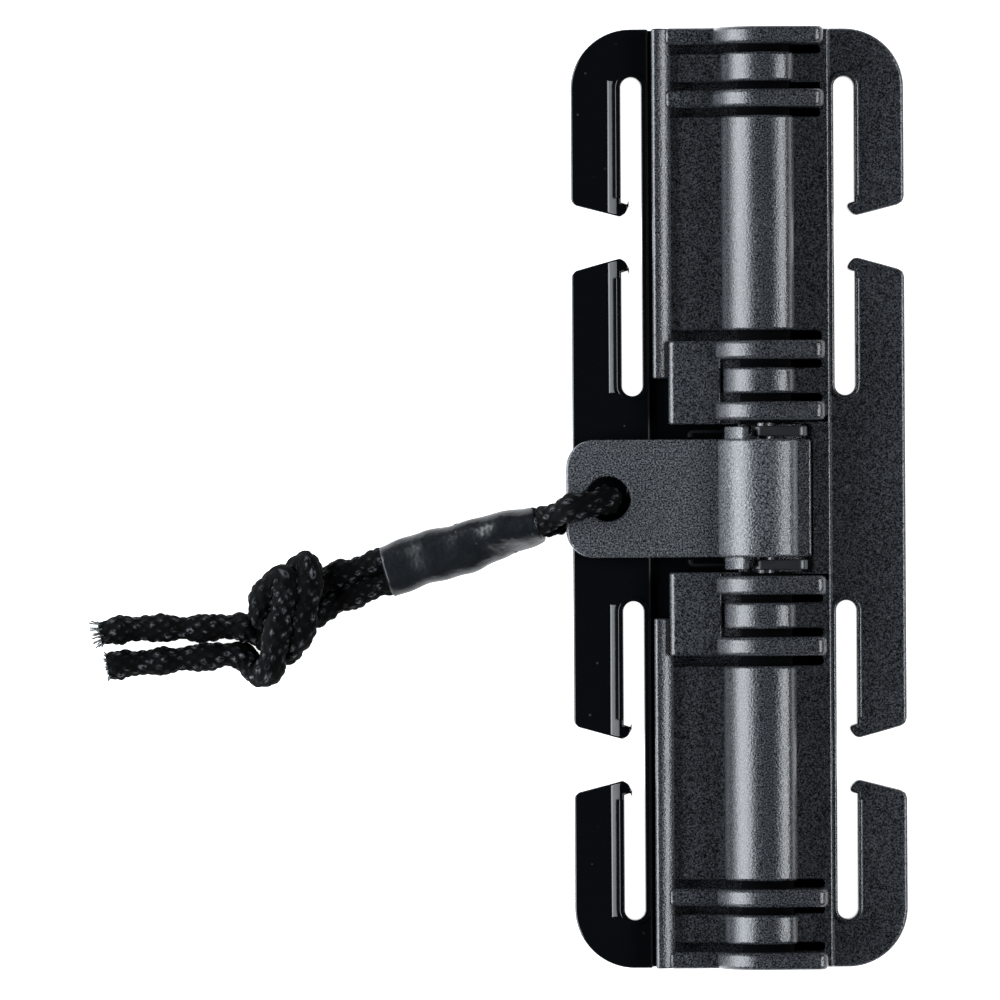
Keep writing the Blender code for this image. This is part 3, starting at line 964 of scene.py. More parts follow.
@dataclass
class CoverHalf:
    """The right-hand moulding: plate, ribbed barrel, knuckles with pads and the beaded lip."""

    plate: SlottedPlate = field(default_factory=SlottedPlate)
    lip_x: float = -8.3
    lip_under: float = 2.4
    deck_left: float = 4.0
    deck_right: float = 3.4
    deck_edge: float = 8.8
    bead_width: float = 1.8
    bead_top: float = 5.3
    bead_crown: float = 2.3
    bead_edge: float = 0.4
    bead_fall: float = 0.7
    bead_inset: float = 0.03
    deck_inset: float = 0.06
    deck_foot: Point2 = (0.3, 0.2)
    deck_reach: float = 1.5
    barrel_radius: float = 4.1
    core_radius: float = 2.5
    trough_radius: float = 4.85
    shell_floor: float = 3.0
    floor_x: float = 0.06
    knuckle_face: float = 7.15
    lip_start: float = 11.6
    pad_x: Span = (-6.8, -1.8)
    pad_top: float = 6.0
    pad_end: float = 15.2
    pad_corner: float = 0.6
    pad_floor_left: float = -6.0
    web_drop: float = 0.35
    rib_right: float = 8.2
    rib_radius: float = 4.9
    rib_shoulder: float = 9.45
    rib_corner: float = 1.0
    rib_left: float = -1.6
    ribs: tuple[Span, ...] = ((7.5, 9.3), (13.4, 15.2), (37.7, 39.4), (43.8, 45.45))
    barrels: tuple[Span, ...] = ((10.1, 12.6), (16.2, 36.9), (40.2, 43.0))
    slits: tuple[Span, ...] = (
        (9.3, 10.1), (12.6, 13.4), (15.2, 16.2), (36.9, 37.7), (39.4, 40.2), (43.0, 43.8),
    )
    slit_floor: float = 1.2
    lip_slit_floor: float = 2.9
    slit_right: float = 8.0
    core_rows: tuple[Span, ...] = ((17.0, 25.0), (26.0, 34.0), (35.0, 43.0))
    core_x: Span = (1.0, 7.9)
    core_top: float = 1.0
    bridge_bottom: float = 0.5
    rim_rise: float = 0.24

    def core_shell(self, span: Span) -> Obj:
        """Give the inner tube that shows at the bottom of the slits."""
        return slab(circle(AXLE, self.core_radius, 32), span, Run.ALONG_PIN)

    def barrel_shell(self, span: Span) -> Obj:
        """Give one stretch of the barrel.

        Args:
            span: Where it runs along the pin.

        Returns:
            The rounded stretch.
        """
        barrel = PinRound(self.barrel_radius)
        points = barrel.profile(self.deck_right - 0.3, barrel.angle_at(self.deck_left))
        points += [(points[-1][0], self.shell_floor), (points[0][0], self.shell_floor)]
        return soften(slab(points, span, Run.ALONG_PIN), 0.3, 4)

    def slit(self, span: Span, side: float, left: float, bottom: float) -> Obj:
        """Give the round-ended cutter of the slit beside a rib.

        Args:
            span: Its two sides along the pin on the upper side.
            side: +1 for the upper side, -1 for the lower.
            left: X where it starts.
            bottom: Z of its bottom.

        Returns:
            The cutter.
        """
        low, high = mirrored(span, side)
        radius = (high - low) / 2
        end = arc((self.slit_right - radius, (low + high) / 2), radius, -90.0, 90.0, 10)
        return slab([(left, low)] + end + [(left, high)], (bottom, CUT_THROUGH[1]))

    def deck_slope(self) -> list[Point2]:
        """Give the slope that takes the right deck down to the plate, from its foot to its top."""
        out, drop = self.deck_foot
        return [(self.deck_edge + out, self.plate.top - drop), (self.deck_edge, self.deck_right)]

    def right_deck(self, side: float) -> Obj:
        """Give the floor under the barrel and the deck on its right, slit beside each rib.

        Args:
            side: +1 for the upper side, -1 for the lower.

        Returns:
            The rounded deck.
        """
        right = self.deck_edge + self.deck_foot[0]
        points = [(self.floor_x, 0.0), (right, 0.0), *self.deck_slope(), (4.0, self.deck_right)]
        points.append((self.floor_x, self.deck_left - 0.3))
        span = mirrored((self.knuckle_face, self.plate.half_length - self.deck_inset), side)
        deck = slab(points, span, Run.ALONG_PIN)
        cuts = [block(self.core_x, mirrored(row, side), (-1.0, self.core_top)) for row in self.core_rows]
        cuts += [self.slit(row, side, -9.0, self.slit_floor) for row in self.slits]
        return soften(boolean(deck, cuts, "DIFFERENCE"), 0.2)

    def tongue_cover(self, left: float, span: Span) -> Obj:
        """Give a flat deck over the tongue.

        Args:
            left: X of its left edge.
            span: Where it runs along the pin.

        Returns:
            The deck with sharp edges.
        """
        right, under, top = self.deck_reach, self.lip_under, self.deck_left
        return slab([(left, under), (right, under), (right, top), (left, top)], span, Run.ALONG_PIN)

    def lip_deck(self, side: float) -> Obj:
        """Give the lip's flat deck, slit beside each rib.

        Args:
            side: +1 for the upper side, -1 for the lower.

        Returns:
            The rounded deck.
        """
        span = mirrored((self.lip_start, self.plate.half_length - self.deck_inset), side)
        deck = self.tongue_cover(self.lip_x + 0.5, span)
        left = self.lip_x + self.bead_width - 0.1
        cuts = [self.slit(row, side, left, self.lip_slit_floor) for row in self.slits[3:]]
        cuts.append(self.slit(self.slits[2], side, self.pad_x[0], self.lip_slit_floor))
        return soften(boolean(deck, cuts, "DIFFERENCE"), 0.2)

    def pad_floor(self, side: float) -> Obj:
        """Give the floor round the pad."""
        span = mirrored((self.knuckle_face, self.lip_start + 0.5), side)
        return soften(self.tongue_cover(self.pad_floor_left, span), 0.2)

    def bead_shell(self, side: float) -> Obj:
        """Give the bead along the free edge of the lip: steep on its outside, crowned inward.

        Args:
            side: +1 for the upper side, -1 for the lower.

        Returns:
            The rounded bead.
        """
        left, top, edge = self.lip_x, self.bead_top, self.bead_edge
        right = left + self.bead_width
        points = arc((left + edge / 2, top - self.bead_crown), self.bead_crown, 50.0, 85.0, 14)
        points += arc((left + edge, top - edge), edge, 95.0, 180.0, 8)
        points += [(left, self.lip_under), (right, self.lip_under), (right, top - self.bead_fall)]
        span = mirrored((self.lip_start, self.plate.half_length - self.bead_inset), side)
        return soften(slab(points, span, Run.ALONG_PIN), 0.15)

    def rib_shell(self, row: Span, side: float) -> Obj:
        """Give a hoop rib that bridges the barrel; the ribs by the lever stop at the pad.

        Args:
            row: Its width along the pin on the upper side.
            side: +1 for the upper side, -1 for the lower.

        Returns:
            The rounded rib.
        """
        left = self.rib_left if row[1] <= self.pad_end else self.lip_x + self.bead_width - 0.5
        radius, foot = self.rib_corner, self.bead_top - 0.1
        corner = (self.rib_right - radius, self.rib_shoulder - radius)
        points = [(left, self.shell_floor), (self.rib_right, self.shell_floor)]
        points += arc(corner, radius, 0.0, 80.0, 10)
        points += arc(AXLE, self.rib_radius, 80.0, PinRound(self.rib_radius).angle_at(foot), 36)
        points.append((left, foot))
        return soften(slab(points, mirrored(row, side), Run.ALONG_PIN), 0.42, 5)

    def pad_shell(self, side: float) -> Obj:
        """Give the raised pad to the left of a knuckle.

        Args:
            side: +1 for the upper side, -1 for the lower.

        Returns:
            The rounded pad.
        """
        left, right = self.pad_x
        radius = self.pad_corner
        points = [(left, self.lip_under), (right, self.lip_under), (right, self.pad_top)]
        points += arc((left + radius, self.pad_top - radius), radius, 90.0, 180.0, 10)
        return soften(slab(points, mirrored((self.knuckle_face, self.pad_end), side), Run.ALONG_PIN), 0.22)

    def web_shell(self, side: float) -> Obj:
        """Give the web between the pad and the barrel.

        Args:
            side: +1 for the upper side, -1 for the lower.

        Returns:
            The rounded web.
        """
        left, top = self.pad_x[1] - 0.3, self.pad_top - self.web_drop
        points = [(left, self.lip_under), (0.2, self.lip_under), (0.2, top), (left, top)]
        span = mirrored((self.knuckle_face, self.slits[1][1]), side)
        return soften(slab(points, span, Run.ALONG_PIN), 0.15)

    def side_shells(self, side: float) -> list[Obj]:
        """Give the shells above the plate on one side of the lever.

        Args:
            side: +1 for the upper side, -1 for the lower.

        Returns:
            The shells.
        """
        shells = [self.right_deck(side), self.lip_deck(side), self.pad_floor(side), self.bead_shell(side)]
        shells += [self.barrel_shell(mirrored(row, side)) for row in self.barrels]
        shells.append(self.web_shell(side))
        shells += [self.rib_shell(row, side) for row in self.ribs]
        shells.append(self.pad_shell(side))
        return shells

    def build(self, finish: bpy.types.Material, matte: bpy.types.Material) -> Obj:
        """Build the cover half.

        Args:
            finish: Its material.
            matte: Material of the tube at the bottom of the slits, near black and almost without shine as
                painted shade.

        Returns:
            The piece.
        """
        face = self.knuckle_face
        right, bottom = self.deck_edge + self.deck_foot[0], self.bridge_bottom
        plate = slab(self.plate.outline(self.floor_x, 1.0), (0.0, self.plate.top))
        bridge = [(AXLE[0], bottom), (right, bottom), *self.deck_slope(), (AXLE[0], self.deck_right)]
        shells = [plate, slab(bridge, (-face - 1.0, face + 1.0), Run.ALONG_PIN)]
        for width, shell in zip((0.38, 0.2), shells):
            trough = slab(circle(AXLE, self.trough_radius, 96), (-face, face), Run.ALONG_PIN)
            slits = [self.slit(row, side, 0.5, self.slit_floor) for row in self.slits for side in (1.0, -1.0)]
            soften(boolean(shell, [trough, *slits], "DIFFERENCE"), width, 4)
        for side in (1.0, -1.0):
            shells += self.side_shells(side)
            shells.append(self.plate.slot_rim(1.0, side, self.rim_rise))
        # The tube at the bottom of the slits takes the painted-shade material, so that the slits read black.
        core_span = (face + 0.1, self.plate.half_length - 0.1)
        cores = [self.core_shell(mirrored(core_span, side)) for side in (1.0, -1.0)]
        dress(polish(weld("cover_half_inner_tube", cores)), matte, Body.COVER, [])
        piece = polish(weld("cover_half_moulding", shells))
        return dress(piece, finish, Body.COVER, ["cover_half"])


@dataclass
class HookHalf:
    """The left-hand moulding: glossy plate with chamfered arms and the tongue under the cover."""

    plate: SlottedPlate = field(default_factory=SlottedPlate)
    step_x: float = -8.6
    tongue_end: float = 0.02
    tongue_top: float = 2.1
    window_x: Span = (-5.6, -3.7)
    window_half: float = 3.4
    notch_end: float = -10.9
    notch_half: float = 3.3
    notch_floor: float = 0.4
    chamfer_x: Span = (-12.65, -11.75)
    chamfer_drop: float = 0.45
    witness_y: Span = (18.05, 32.75)
    witness_half: float = 0.035
    arm_margin: float = 0.35
    band_slope: Span = (0.3, 0.6)
    band_area: float = 2e-6
    witness_rise: float = 0.025
    rim_rise: float = 0.1

    def chamfer_cutter(self, side: float) -> Obj:
        """Give the wedge that cuts the slanted band along an arm's inner edge.

        Args:
            side: +1 for the upper arms, -1 for the lower.

        Returns:
            The cutter.
        """
        top = self.plate.top
        outer, inner = self.chamfer_x
        points = [(outer, top), (inner, top - self.chamfer_drop), (inner + 1.0, top - self.chamfer_drop)]
        points += [(inner + 1.0, top + 0.5), (outer, top + 0.5)]
        margin = self.arm_margin
        span = mirrored((self.plate.slot_near + margin, self.plate.slot_far - margin), side)
        return slab(points, span, Run.ALONG_PIN)

    def witness_line(self, y: float) -> Obj:
        """Give the fine raised line that a mould insert leaves across an arm.

        Args:
            y: Y of the line.

        Returns:
            The line.
        """
        x_span = (-self.plate.half_width + self.arm_margin, self.chamfer_x[0] - 0.05)
        y_span = (y - self.witness_half, y + self.witness_half)
        return block(x_span, y_span, (self.plate.top - 0.3, self.plate.top + self.witness_rise))

    def mark_satin_faces(self, piece: Obj) -> None:
        """Mark the slanted bands and the step beside the cover, which are less polished.

        Args:
            piece: The finished moulding.
        """
        chamfer = piece.data.attributes.new("chamfer", "FLOAT", "FACE")
        for index, polygon in enumerate(piece.data.polygons):
            sloping = self.band_slope[0] < polygon.normal.x < self.band_slope[1]
            banded = sloping and polygon.area > self.band_area
            stepped = polygon.normal.x > 0.1 and abs(polygon.center.x - self.step_x * MM) < 0.25 * MM
            chamfer.data[index].value = 1.5 if stepped else float(banded)

    def build(self, finish: bpy.types.Material) -> Obj:
        """Build the hook half.

        Args:
            finish: Its material.

        Returns:
            The piece.
        """
        body = slab(self.plate.outline(-self.step_x, -1.0), (0.0, self.plate.top))
        cutters = [self.chamfer_cutter(side) for side in (1.0, -1.0)]
        notch_x = (-self.plate.half_width - 1.0, self.notch_end)
        cutters.append(block(notch_x, (-self.notch_half, self.notch_half), (self.notch_floor, 4.0)))
        body = soften(boolean(body, cutters, "DIFFERENCE"), 0.2, 3, 20.0)
        end = self.plate.half_length
        tongue = block((self.step_x - 0.4, self.tongue_end), (-end + 0.1, end - 0.1), (0.0, self.tongue_top))
        window = block(self.window_x, (-self.window_half, self.window_half), (-1.0, 4.0))
        tongue = soften(boolean(tongue, [window], "DIFFERENCE"), 0.2)
        lines = [self.witness_line(side * y) for side in (1.0, -1.0) for y in self.witness_y]
        rims = [self.plate.slot_rim(-1.0, side, self.rim_rise) for side in (1.0, -1.0)]
        piece = polish(weld("hook_half_moulding", [body, tongue, *lines, *rims]))
        self.mark_satin_faces(piece)
        return dress(piece, finish, Body.HOOK, ["hook_half"])


@dataclass
class ReleaseLever:
    """The lever: flat tab with the cord's eye, round hub, latch and the shoulders at its sides."""

    tip: float = -16.78
    half: float = 5.7
    under: float = 3.2
    top: float = 5.5
    corner: float = 2.7
    hub_radius: float = 4.6
    hub_inner: float = 2.5
    eye: Point2 = (-12.76, 0.0)
    eye_radius: float = 2.17
    latch_x: Span = (-5.2, -4.2)
    latch_half: float = 3.0
    latch_bottom: float = 1.2
    shoulder_radii: Span = (3.0, 4.0)
    shoulder_angles: Span = (123.0, 173.0)
    shoulder_end: float = 6.9
    shelf: float = 4.0

    def section(self) -> list[Point2]:
        """Give the lever's profile: flat tab, round hub and a low shelf on the hub's right.

        Returns:
            The closed XZ outline.
        """
        hub = PinRound(self.hub_radius)
        inner_end = -180.0 + math.degrees(math.asin((AXLE[1] - self.under) / self.hub_inner))
        shelf_end = -math.degrees(math.asin((AXLE[1] - self.shelf) / self.hub_radius))
        points = [(self.tip - 1.0, self.under)]
        points += arc(AXLE, self.hub_inner, inner_end, -38.0, 16)
        points += arc(AXLE, self.hub_radius, -20.0, shelf_end, 4)
        points += hub.profile(self.shelf, hub.angle_at(self.top))
        return points + [(self.tip - 1.0, self.top)]

    def plan(self) -> list[Point2]:
        """Give the lever's outline from above.

        Returns:
            The closed XY outline.
        """
        x, y = self.tip + self.corner, self.half - self.corner
        end = AXLE[0] + self.hub_radius + 1.0
        points = arc((x, y), self.corner, 90.0, 180.0, 20) + arc((x, -y), self.corner, 180.0, 270.0, 20)
        return points + [(end, -self.half), (end, self.half)]

    def build(self, finish: bpy.types.Material) -> Obj:
        """Build the lever.

        Args:
            finish: Its material.

        Returns:
            The piece.
        """
        body = slab(self.section(), (-self.half - 1.0, self.half + 1.0), Run.ALONG_PIN)
        body = boolean(body, [slab(self.plan(), CUT_THROUGH)], "INTERSECT")
        eye = slab(circle(self.eye, self.eye_radius, 48), CUT_THROUGH)
        body = soften(boolean(body, [eye], "DIFFERENCE"), 0.3, 4)
        latch_z = (self.latch_bottom, self.under + 0.6)
        latch = block(self.latch_x, (-self.latch_half, self.latch_half), latch_z)
        shells = [body, soften(latch, 0.15)]
        ring = arc(AXLE, self.shoulder_radii[1], *self.shoulder_angles, 14)
        ring += arc(AXLE, self.shoulder_radii[0], *reversed(self.shoulder_angles), 14)
        for side in (1.0, -1.0):
            span = mirrored((self.half - 0.4, self.shoulder_end), side)
            shells.append(soften(slab(ring, span, Run.ALONG_PIN), 0.12))
        piece = polish(weld("release_lever_moulding", shells))
        return dress(piece, finish, Body.LEVER, ["release_lever"])


@dataclass
class CamCollars:
    """The smooth collars on the pin in the gaps beside the lever."""

    span: Span = (5.95, 6.95)
    x: Span = (-1.2, 4.0)
    z: Span = (-1.5, 2.3)
    corner: float = 0.9
    bore_radius: float = 1.05

    def build(self, finish: bpy.types.Material) -> list[Obj]:
        """Build both collars.

        Args:
            finish: Their material.

        Returns:
            The upper and the lower collar.
        """
        made = []
        low_x, high_x = (AXLE[0] + value for value in self.x)
        low_z, high_z = (AXLE[1] + value for value in self.z)
        radius = self.corner
        points = arc((high_x - radius, low_z + radius), radius, -90.0, 0.0, 12)
        points += arc((high_x - radius, high_z - radius), radius, 0.0, 90.0, 12)
        points += arc((low_x + radius, high_z - radius), radius, 90.0, 180.0, 12)
        points += arc((low_x + radius, low_z + radius), radius, 180.0, 270.0, 12)
        for side, tag in ((1.0, "upper"), (-1.0, "lower")):
            body = slab(points, mirrored(self.span, side), Run.ALONG_PIN)
            bore = slab(circle(AXLE, self.bore_radius, 32), (-9.0, 9.0), Run.ALONG_PIN)
            body = soften(boolean(body, [bore], "DIFFERENCE"), 0.12)
            piece = polish(weld(f"cam_collar_{tag}_turned", [body]))
            made.append(dress(piece, finish, Body.LEVER, [f"cam_collar_{tag}"]))
        return made


@dataclass
class SteelParts:
    """The pin and the torsion springs, kept from the frame with their own finish."""

    pin: str = "hinge_pin"
    springs: tuple[str, ...] = ("torsion_spring_upper", "torsion_spring_lower")

    def build(self, blued: bpy.types.Material, blackened: bpy.types.Material) -> None:
        """Give the frame's own steel pieces their materials.

        Args:
            blued: Finish of the pin.
            blackened: Finish of the spring wire.
        """
        finishes = {self.pin: (blued, Slot.STEEL)}
        finishes.update({name: (blackened, Slot.WIRE) for name in self.springs})
        for name, (finish, slot) in finishes.items():
            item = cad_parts[name]
            item.data.materials.clear()
            item.data.materials.append(finish)
            LOG.info("%s: finish %s", name, finish.name)


@dataclass
class PullCord:
    """One braided cord doubled through the lever's eye and tied in an overhand knot."""

    radius: float = 1.25
    around: int = 44
    step: float = 0.15
    fibres: int = 34
    fibre_radius: float = 0.085
    fibre_root: float = 0.35
    picks: int = 7
    pick_length: float = 1.5
    pick_height: float = 0.34
    lump: float = 0.13
    yarn_slack: float = 0.28
    knot_from: float = -38.5
    knot_to: float = -47.5
    knot_swell: float = 0.1
    lump_length: float = 4.1
    small_lump: float = 0.035
    strand_a: tuple[Point3, ...] = (
        (-12.75, 0.0, 4.4), (-13.0, -0.15, 5.7), (-13.8, -0.35, 6.75), (-15.0, -0.6, 7.2),
        (-16.2, -0.85, 7.2), (-17.3, -1.3, 6.7), (-18.3, -1.75, 5.8), (-19.4, -2.15, 5.0),
        (-21.7, -2.55, 4.5), (-24.8, -3.15, 3.9), (-28.6, -4.15, 3.1), (-32.0, -5.15, 2.5),
        (-34.6, -5.95, 2.3), (-37.0, -6.7, 1.9), (-39.2, -7.3, 1.8), (-41.2, -8.5, 1.5), (-43.2, -9.9, 1.4),
        (-44.9, -10.6, 1.7), (-45.5, -10.1, 2.4), (-44.6, -9.0, 2.8), (-43.2, -7.7, 2.9),
        (-42.4, -6.5, 3.2), (-41.8, -6.2, 3.7), (-41.7, -7.4, 4.3), (-42.0, -10.0, 4.4),
        (-42.5, -12.4, 4.1), (-43.1, -13.8, 3.3), (-43.8, -14.5, 2.2), (-44.9, -14.2, 1.45),
        (-46.3, -13.2, 1.4), (-48.0, -12.3, 1.45), (-50.0, -12.2, 1.4), (-52.5, -12.3, 1.4),
        (-55.0, -12.3, 1.4), (-57.5, -12.3, 1.4), (-60.0, -12.4, 1.4), (-62.0, -12.8, 1.4),
    )
    strand_b: tuple[Point3, ...] = (
        (-12.75, 0.0, 4.4), (-13.0, -0.1, 3.1), (-13.8, -0.5, 2.15), (-15.0, -1.0, 1.85),
        (-16.3, -1.6, 1.8), (-17.5, -2.0, 2.1), (-18.4, -2.3, 2.5), (-19.3, -2.5, 2.85), (-21.4, -3.5, 2.8),
        (-24.3, -4.7, 2.8), (-28.0, -6.0, 2.75), (-31.5, -7.1, 2.45), (-34.0, -7.9, 2.2),
        (-36.8, -8.9, 1.8), (-39.5, -10.0, 1.6), (-41.8, -11.2, 1.4), (-44.0, -11.9, 1.5),
        (-45.9, -11.7, 2.0), (-46.4, -10.4, 2.9), (-45.4, -8.3, 3.6), (-44.3, -7.4, 4.1),
        (-43.8, -8.8, 4.5), (-44.4, -11.5, 4.6), (-45.0, -13.9, 4.4), (-45.5, -16.1, 3.7),
        (-46.3, -16.9, 2.6), (-47.1, -16.4, 1.7), (-47.9, -15.3, 1.4), (-49.2, -14.9, 1.4),
        (-51.0, -15.0, 1.4), (-54.5, -15.3, 1.4), (-57.0, -15.6, 1.4), (-59.5, -15.7, 1.4),
        (-61.3, -16.0, 1.4),
    )

    def braid(self, name: str, points: list[Vector], phase: float) -> Obj:
        """Build a braided strand along a line.

        Args:
            name: Name of the piece.
            points: Its centreline.
            phase: Where its lumps start.

        Returns:
            The strand, with a cord map and a pick attribute.
        """
        rings = []
        heights = []
        reaches = [0.0]
        for start, end in zip(points, points[1:]):
            reaches.append(reaches[-1] + (end - start).length)
        for point, reach, (side, up) in zip(points, reaches, carried_frames(points)):
            swell = self.swell(point.x, reach, phase)
            ring = []
            for turn in range(self.around):
                angle = 2 * math.pi * turn / self.around
                height = self.pick_shape(reach, angle)
                radius = (self.radius - 0.5 * self.pick_height) * swell + self.pick_height * height
                ring.append(point + radius * (math.cos(angle) * side + math.sin(angle) * up))
                heights.append(height)
            rings.append(ring)
        item = tube_mesh(name, rings)
        self.map_strand(item, reaches, heights)
        return item

    def swell(self, x: float, reach: float, phase: float) -> float:
        """Give the strand's thickness as a share of its mean.

        Args:
            x: X of the place.
            reach: Distance along the strand.
            phase: Where its lumps start.

        Returns:
            The share: lumpy all along and thicker in the knot.
        """
        size = 1.0 + self.lump * math.sin(2 * math.pi * (reach + phase) / self.lump_length)
        size += self.small_lump * math.sin(2 * math.pi * (1.7 * reach + phase) / self.lump_length)
        if self.knot_to < x < self.knot_from:
            share = (x - self.knot_to) / (self.knot_from - self.knot_to)
            size += self.knot_swell * math.sin(math.pi * share)
        return size

    def pick_shape(self, reach: float, angle: float) -> float:
        """Give the height of the braid's surface, 0 to 1.

        Args:
            reach: Distance along the strand.
            angle: Angle round it.

        Returns:
            0 in the gaps between yarns and 1 on top of a pick.
        """
        first = reach / self.pick_length + self.picks * angle / (2 * math.pi)
        second = reach / self.pick_length - self.picks * angle / (2 * math.pi)
        if (math.floor(first) + math.floor(second)) % 2:
            first, second = second, first
        across = math.sin(math.pi * (first % 1.0))
        along = math.sin(math.pi * (second % 1.0))
        slack = self.yarn_slack * math.sin(7.3 * math.floor(first) + 4.1 * math.floor(second))
        return math.sqrt(max(0.0, across)) * (0.3 + 0.7 * along) * (1.0 - self.yarn_slack + slack)

    def map_strand(self, item: Obj, reaches: list[float], heights: list[float]) -> None:
        """Store the cord map, in millimetres, and the height of each pick.

        Args:
            item: The strand.
            reaches: Distance along the strand of each ring.
            heights: Height of the braid at each point.
        """
        data = item.data
        attribute = data.attributes.new("pick", "FLOAT", "POINT")
        for index, height in enumerate(heights):
            attribute.data[index].value = height
        layer = data.uv_layers.new(name="cord")
        girth = 2 * math.pi * self.radius
        for polygon in data.polygons:
            turns = [data.loops[loop].vertex_index % self.around for loop in polygon.loop_indices]
            wraps = max(turns) - min(turns) > self.around / 2
            for loop, turn in zip(polygon.loop_indices, turns):
                ring = data.loops[loop].vertex_index // self.around
                if wraps and turn == 0:
                    turn = self.around
                layer.data[loop].uv = (reaches[ring], girth * turn / self.around)

    def frayed_tip(self, name: str, tip: Vector, run: Vector, seed: float, length: float) -> Obj:
        """Build the loose fibres of a cut end.

        Args:
            name: Name of the piece.
            tip: Middle of the cut end.
            run: Direction in which the strand ends.
            seed: Turns the fibres differently on each end.
            length: How far the longest fibres reach.

        Returns:
            The fibres as one object.
        """
        side = Vector((-run.y, run.x, 0.0)).normalized()
        up = run.cross(side)
        shells = []
        for number in range(self.fibres):
            turn = seed + number * GOLDEN_TURN
            spread = 0.92 * self.radius * math.sqrt((number + 0.5) / self.fibres)
            out = math.cos(turn) * side + math.sin(turn) * up
            reach = self.fibre_root + length * abs(math.sin(3.7 * number + seed)) ** 3
            line = []
            for step in range(6):
                share = step / 5
                flare = spread * (1.0 + 0.35 * share * share)
                line.append(tip + run * (reach * share - self.fibre_root) + out * flare)
            rings = []
            for point, (across, above) in zip(line, carried_frames(line)):
                corners = circle((0.0, 0.0), self.fibre_radius, 5)
                rings.append([point + x * across + y * above for x, y in corners])
            shells.append(tube_mesh("fibre", rings))
        item = weld(name, shells)
        item.data.shade_smooth()
        return item

    def build(self, finish: bpy.types.Material, singed: bpy.types.Material) -> list[Obj]:
        """Args:
            finish: Material of the strands.
            singed: Material of the fibres at the cut ends.

        Returns:
            The strands.
        """
        made = []
        longest = {"a": 0.9, "b": 0.25}
        nodes = {
            "a": ["cord_bight", "cord_neck_a", "cord_knot", "cord_tail_a"],
            "b": ["cord_neck_b", "cord_tail_b"],
        }
        for tag, route, phase in (("a", self.strand_a, 0.0), ("b", self.strand_b, 1.7)):
            points = smooth_route(route, self.step)
            item = self.braid(f"pull_cord_strand_{tag}", points, phase)
            item.data.shade_smooth()
            dress(item, finish, Body.LEVER, nodes[tag])
            path = [(point + FRAME_SHIFT) * MM for point in smooth_route(route, 1.2)]
            run = (points[-1] - points[-4]).normalized()
            tip = self.frayed_tip(f"cut_end_fibres_{tag}", points[-1], run, phase, longest[tag])
            dress(tip, singed, Body.LEVER, [])
            made.append(item)
        return made


@dataclass
class ShrunkSleeve:
    """Heat-shrink sleeve round both strands, drawn in so that they show through it."""

    right: Point3 = (-19.3, -2.35, 3.9)
    left: Point3 = (-34.3, -6.9, 2.3)
    half_width: float = 2.55
    half_height: float = 1.85
    rings: int = 90
    around: int = 56
    rim_draw: float = 0.12
    rim_share: float = 0.015
    waist_draw: float = 0.1
    long_wave: tuple[float, float, float, float] = (0.045, 1.9, 1.6, 0.4)
    short_wave: tuple[float, float, float, float] = (0.022, 4.7, 2.2, 1.0)
    twist: float = 80.0
    twist_share: float = 0.68

    def size(self, share: float, angle: float) -> float:
        """Give the sleeve's size at a place, drawn in at its rims and uneven between them.

        Args:
            share: Place along the sleeve, 0 to 1.
            angle: Angle round it.

        Returns:
            The size as a share of the full one.
        """
        rim = max(0.0, 1.0 - min(share, 1.0 - share) / self.rim_share)
        size = 1.0 - self.waist_draw * math.sin(angle) ** 8
        for wave, lean in ((self.long_wave, math.cos(angle)), (self.short_wave, math.sin(angle))):
            height, turns, slant, start = wave
            size += height * math.sin(2 * math.pi * share * turns + slant * lean + start)
        return size * (1.0 - self.rim_draw * rim ** 2)

    def build(self, finish: bpy.types.Material) -> Obj:
        """Build the sleeve.

        Args:
            finish: Its material.

        Returns:
            The sleeve.
        """
        start, end = Vector(self.right), Vector(self.left)
        run = (end - start).normalized()
        side = Vector((-run.y, run.x, 0.0)).normalized()
        up = side.cross(run)
        if up.z < 0.0:
            up = -up
        rings = []
        for index in range(self.rings + 1):
            share = index / self.rings
            twist = math.radians(self.twist) * max(0.0, 1.0 - share / self.twist_share) ** 1.2
            ring = []
            for turn in range(self.around):
                angle = 2 * math.pi * turn / self.around
                size = self.size(share, angle)
                across = self.half_width * size * math.cos(angle)
                above = self.half_height * size * math.sin(angle)
                offset = side * (across * math.cos(twist) - above * math.sin(twist))
                offset -= up * (across * math.sin(twist) + above * math.cos(twist))
                ring.append(start.lerp(end, share) + offset)
            rings.append(ring)
        item = tube_mesh("shrunk_sleeve_tube", rings)
        polish(item, 60.0)
        return dress(item, finish, Body.LEVER, ["cord_sleeve"])


# ---------------------------------------------------------------------------------------------
# Studio
# ---------------------------------------------------------------------------------------------
@dataclass(frozen=True)
class SoftBox:
    """A rectangular light that faces the buckle; lengths in metres, power in watts."""

    name: str
    spot: Point3
    size: Span
    power: float


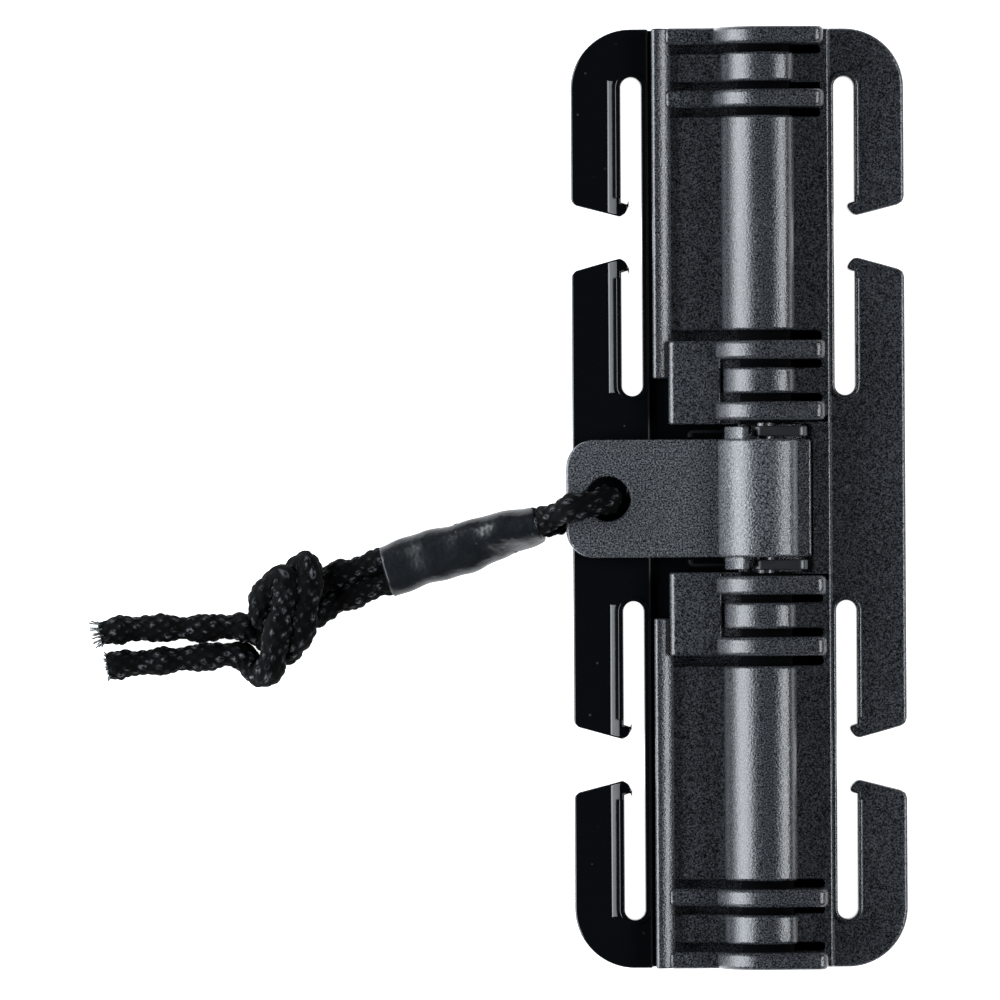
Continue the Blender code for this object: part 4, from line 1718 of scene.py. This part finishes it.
@dataclass
class Studio:
    """Pale floor, two soft boxes and a camera straight above; lengths in metres."""

    look_at: Point3 = (-0.022836, -0.00005, 0.0028)
    distance: float = 1.1
    width_seen: float = 0.0968
    roll: float = 0.33
    floor_size: float = 6.0
    floor_z: float = -0.0003
    light_colour: Colour = (0.93, 0.975, 1.03)
    boxes: tuple[SoftBox, ...] = (
        SoftBox("left_soft_box", (-1.0, 0.0, 0.41), (1.15, 0.95), 36.0),
        SoftBox("right_soft_box", (0.8, 0.0, 0.7), (0.75, 0.42), 11.5),
    )
    room_light: float = 0.004

    def floor(self) -> Obj:
        """Lay the floor.

        Returns:
            The floor.
        """
        mesh = bmesh.new()
        half = self.floor_size / 2
        corners = ((-half, -half), (half, -half), (half, half), (-half, half))
        mesh.faces.new([mesh.verts.new((x, y, self.floor_z)) for x, y in corners])
        item = object_from("studio_floor", mesh)
        material, bench, shader = start_material("pale_floor")
        shade = bench.noise(bench.add("TexCoord").outputs["Object"], 3.0, 2.0)
        bench.feed(shader, "Base Color", bench.blend(shade, (0.93, 0.93, 0.93, 1.0), (0.96, 0.96, 0.96, 1.0)))
        bench.feed(shader, "Roughness", 0.9)
        bench.feed(shader, "Specular IOR Level", 0.0)
        bench.feed(shader, "Emission Color", (1.0, 1.0, 1.0, 1.0))
        bench.feed(shader, "Emission Strength", 1.0)
        item.data.materials.append(material)
        return item

    def hang(self, box: SoftBox) -> Obj:
        """Hang a soft box.

        Args:
            box: The soft box.

        Returns:
            The light.
        """
        lamp = bpy.data.lights.new(box.name, "AREA")
        lamp.shape = "RECTANGLE"
        lamp.size, lamp.size_y = box.size
        lamp.energy = box.power
        lamp.color = self.light_colour
        item = linked(box.name, lamp)
        item.location = box.spot
        item.rotation_mode = "QUATERNION"
        item.rotation_quaternion = (-Vector(box.spot)).to_track_quat("-Z", "Y")
        return item

    def camera(self) -> Obj:
        """Set the camera straight above the middle of the view.

        Returns:
            The camera.
        """
        lens = bpy.data.cameras.new("overhead")
        lens.sensor_width = 36.0
        lens.lens = 36.0 * self.distance / self.width_seen
        lens.clip_start = 0.01
        lens.clip_end = 20.0
        item = linked("overhead", lens)
        item.location = Vector(self.look_at) + Vector((0.0, 0.0, self.distance))
        item.rotation_euler = (0.0, 0.0, -math.radians(self.roll))
        bpy.context.scene.camera = item
        return item

    def build(self) -> None:
        """Build the whole studio."""
        self.floor()
        for box in self.boxes:
            self.hang(box)
        world = bpy.data.worlds.new("room")
        world.use_nodes = True
        background = world.node_tree.nodes["Background"]
        background.inputs["Color"].default_value = (1.0, 1.0, 1.0, 1.0)
        background.inputs["Strength"].default_value = self.room_light
        bpy.context.scene.world = world
        bpy.context.scene.view_settings.view_transform = "Standard"
        self.camera()
        LOG.info("studio is set")


def main() -> None:
    """Build the studio, the finishes and every piece."""
    logging.basicConfig(level=logging.INFO, format="%(name)s %(message)s")
    finishes = Finishes(Effects())
    Studio().build()
    PullCord().build(finishes.braid, finishes.fibre)
    ShrunkSleeve().build(finishes.shrink)
    CoverHalf().build(finishes.leathery, finishes.groove)
    HookHalf().build(finishes.glossy)
    ReleaseLever().build(finishes.coarse)
    CamCollars().build(finishes.satin)
    SteelParts().build(finishes.pin, finishes.wire)


if __name__ == "__main__":
    main()
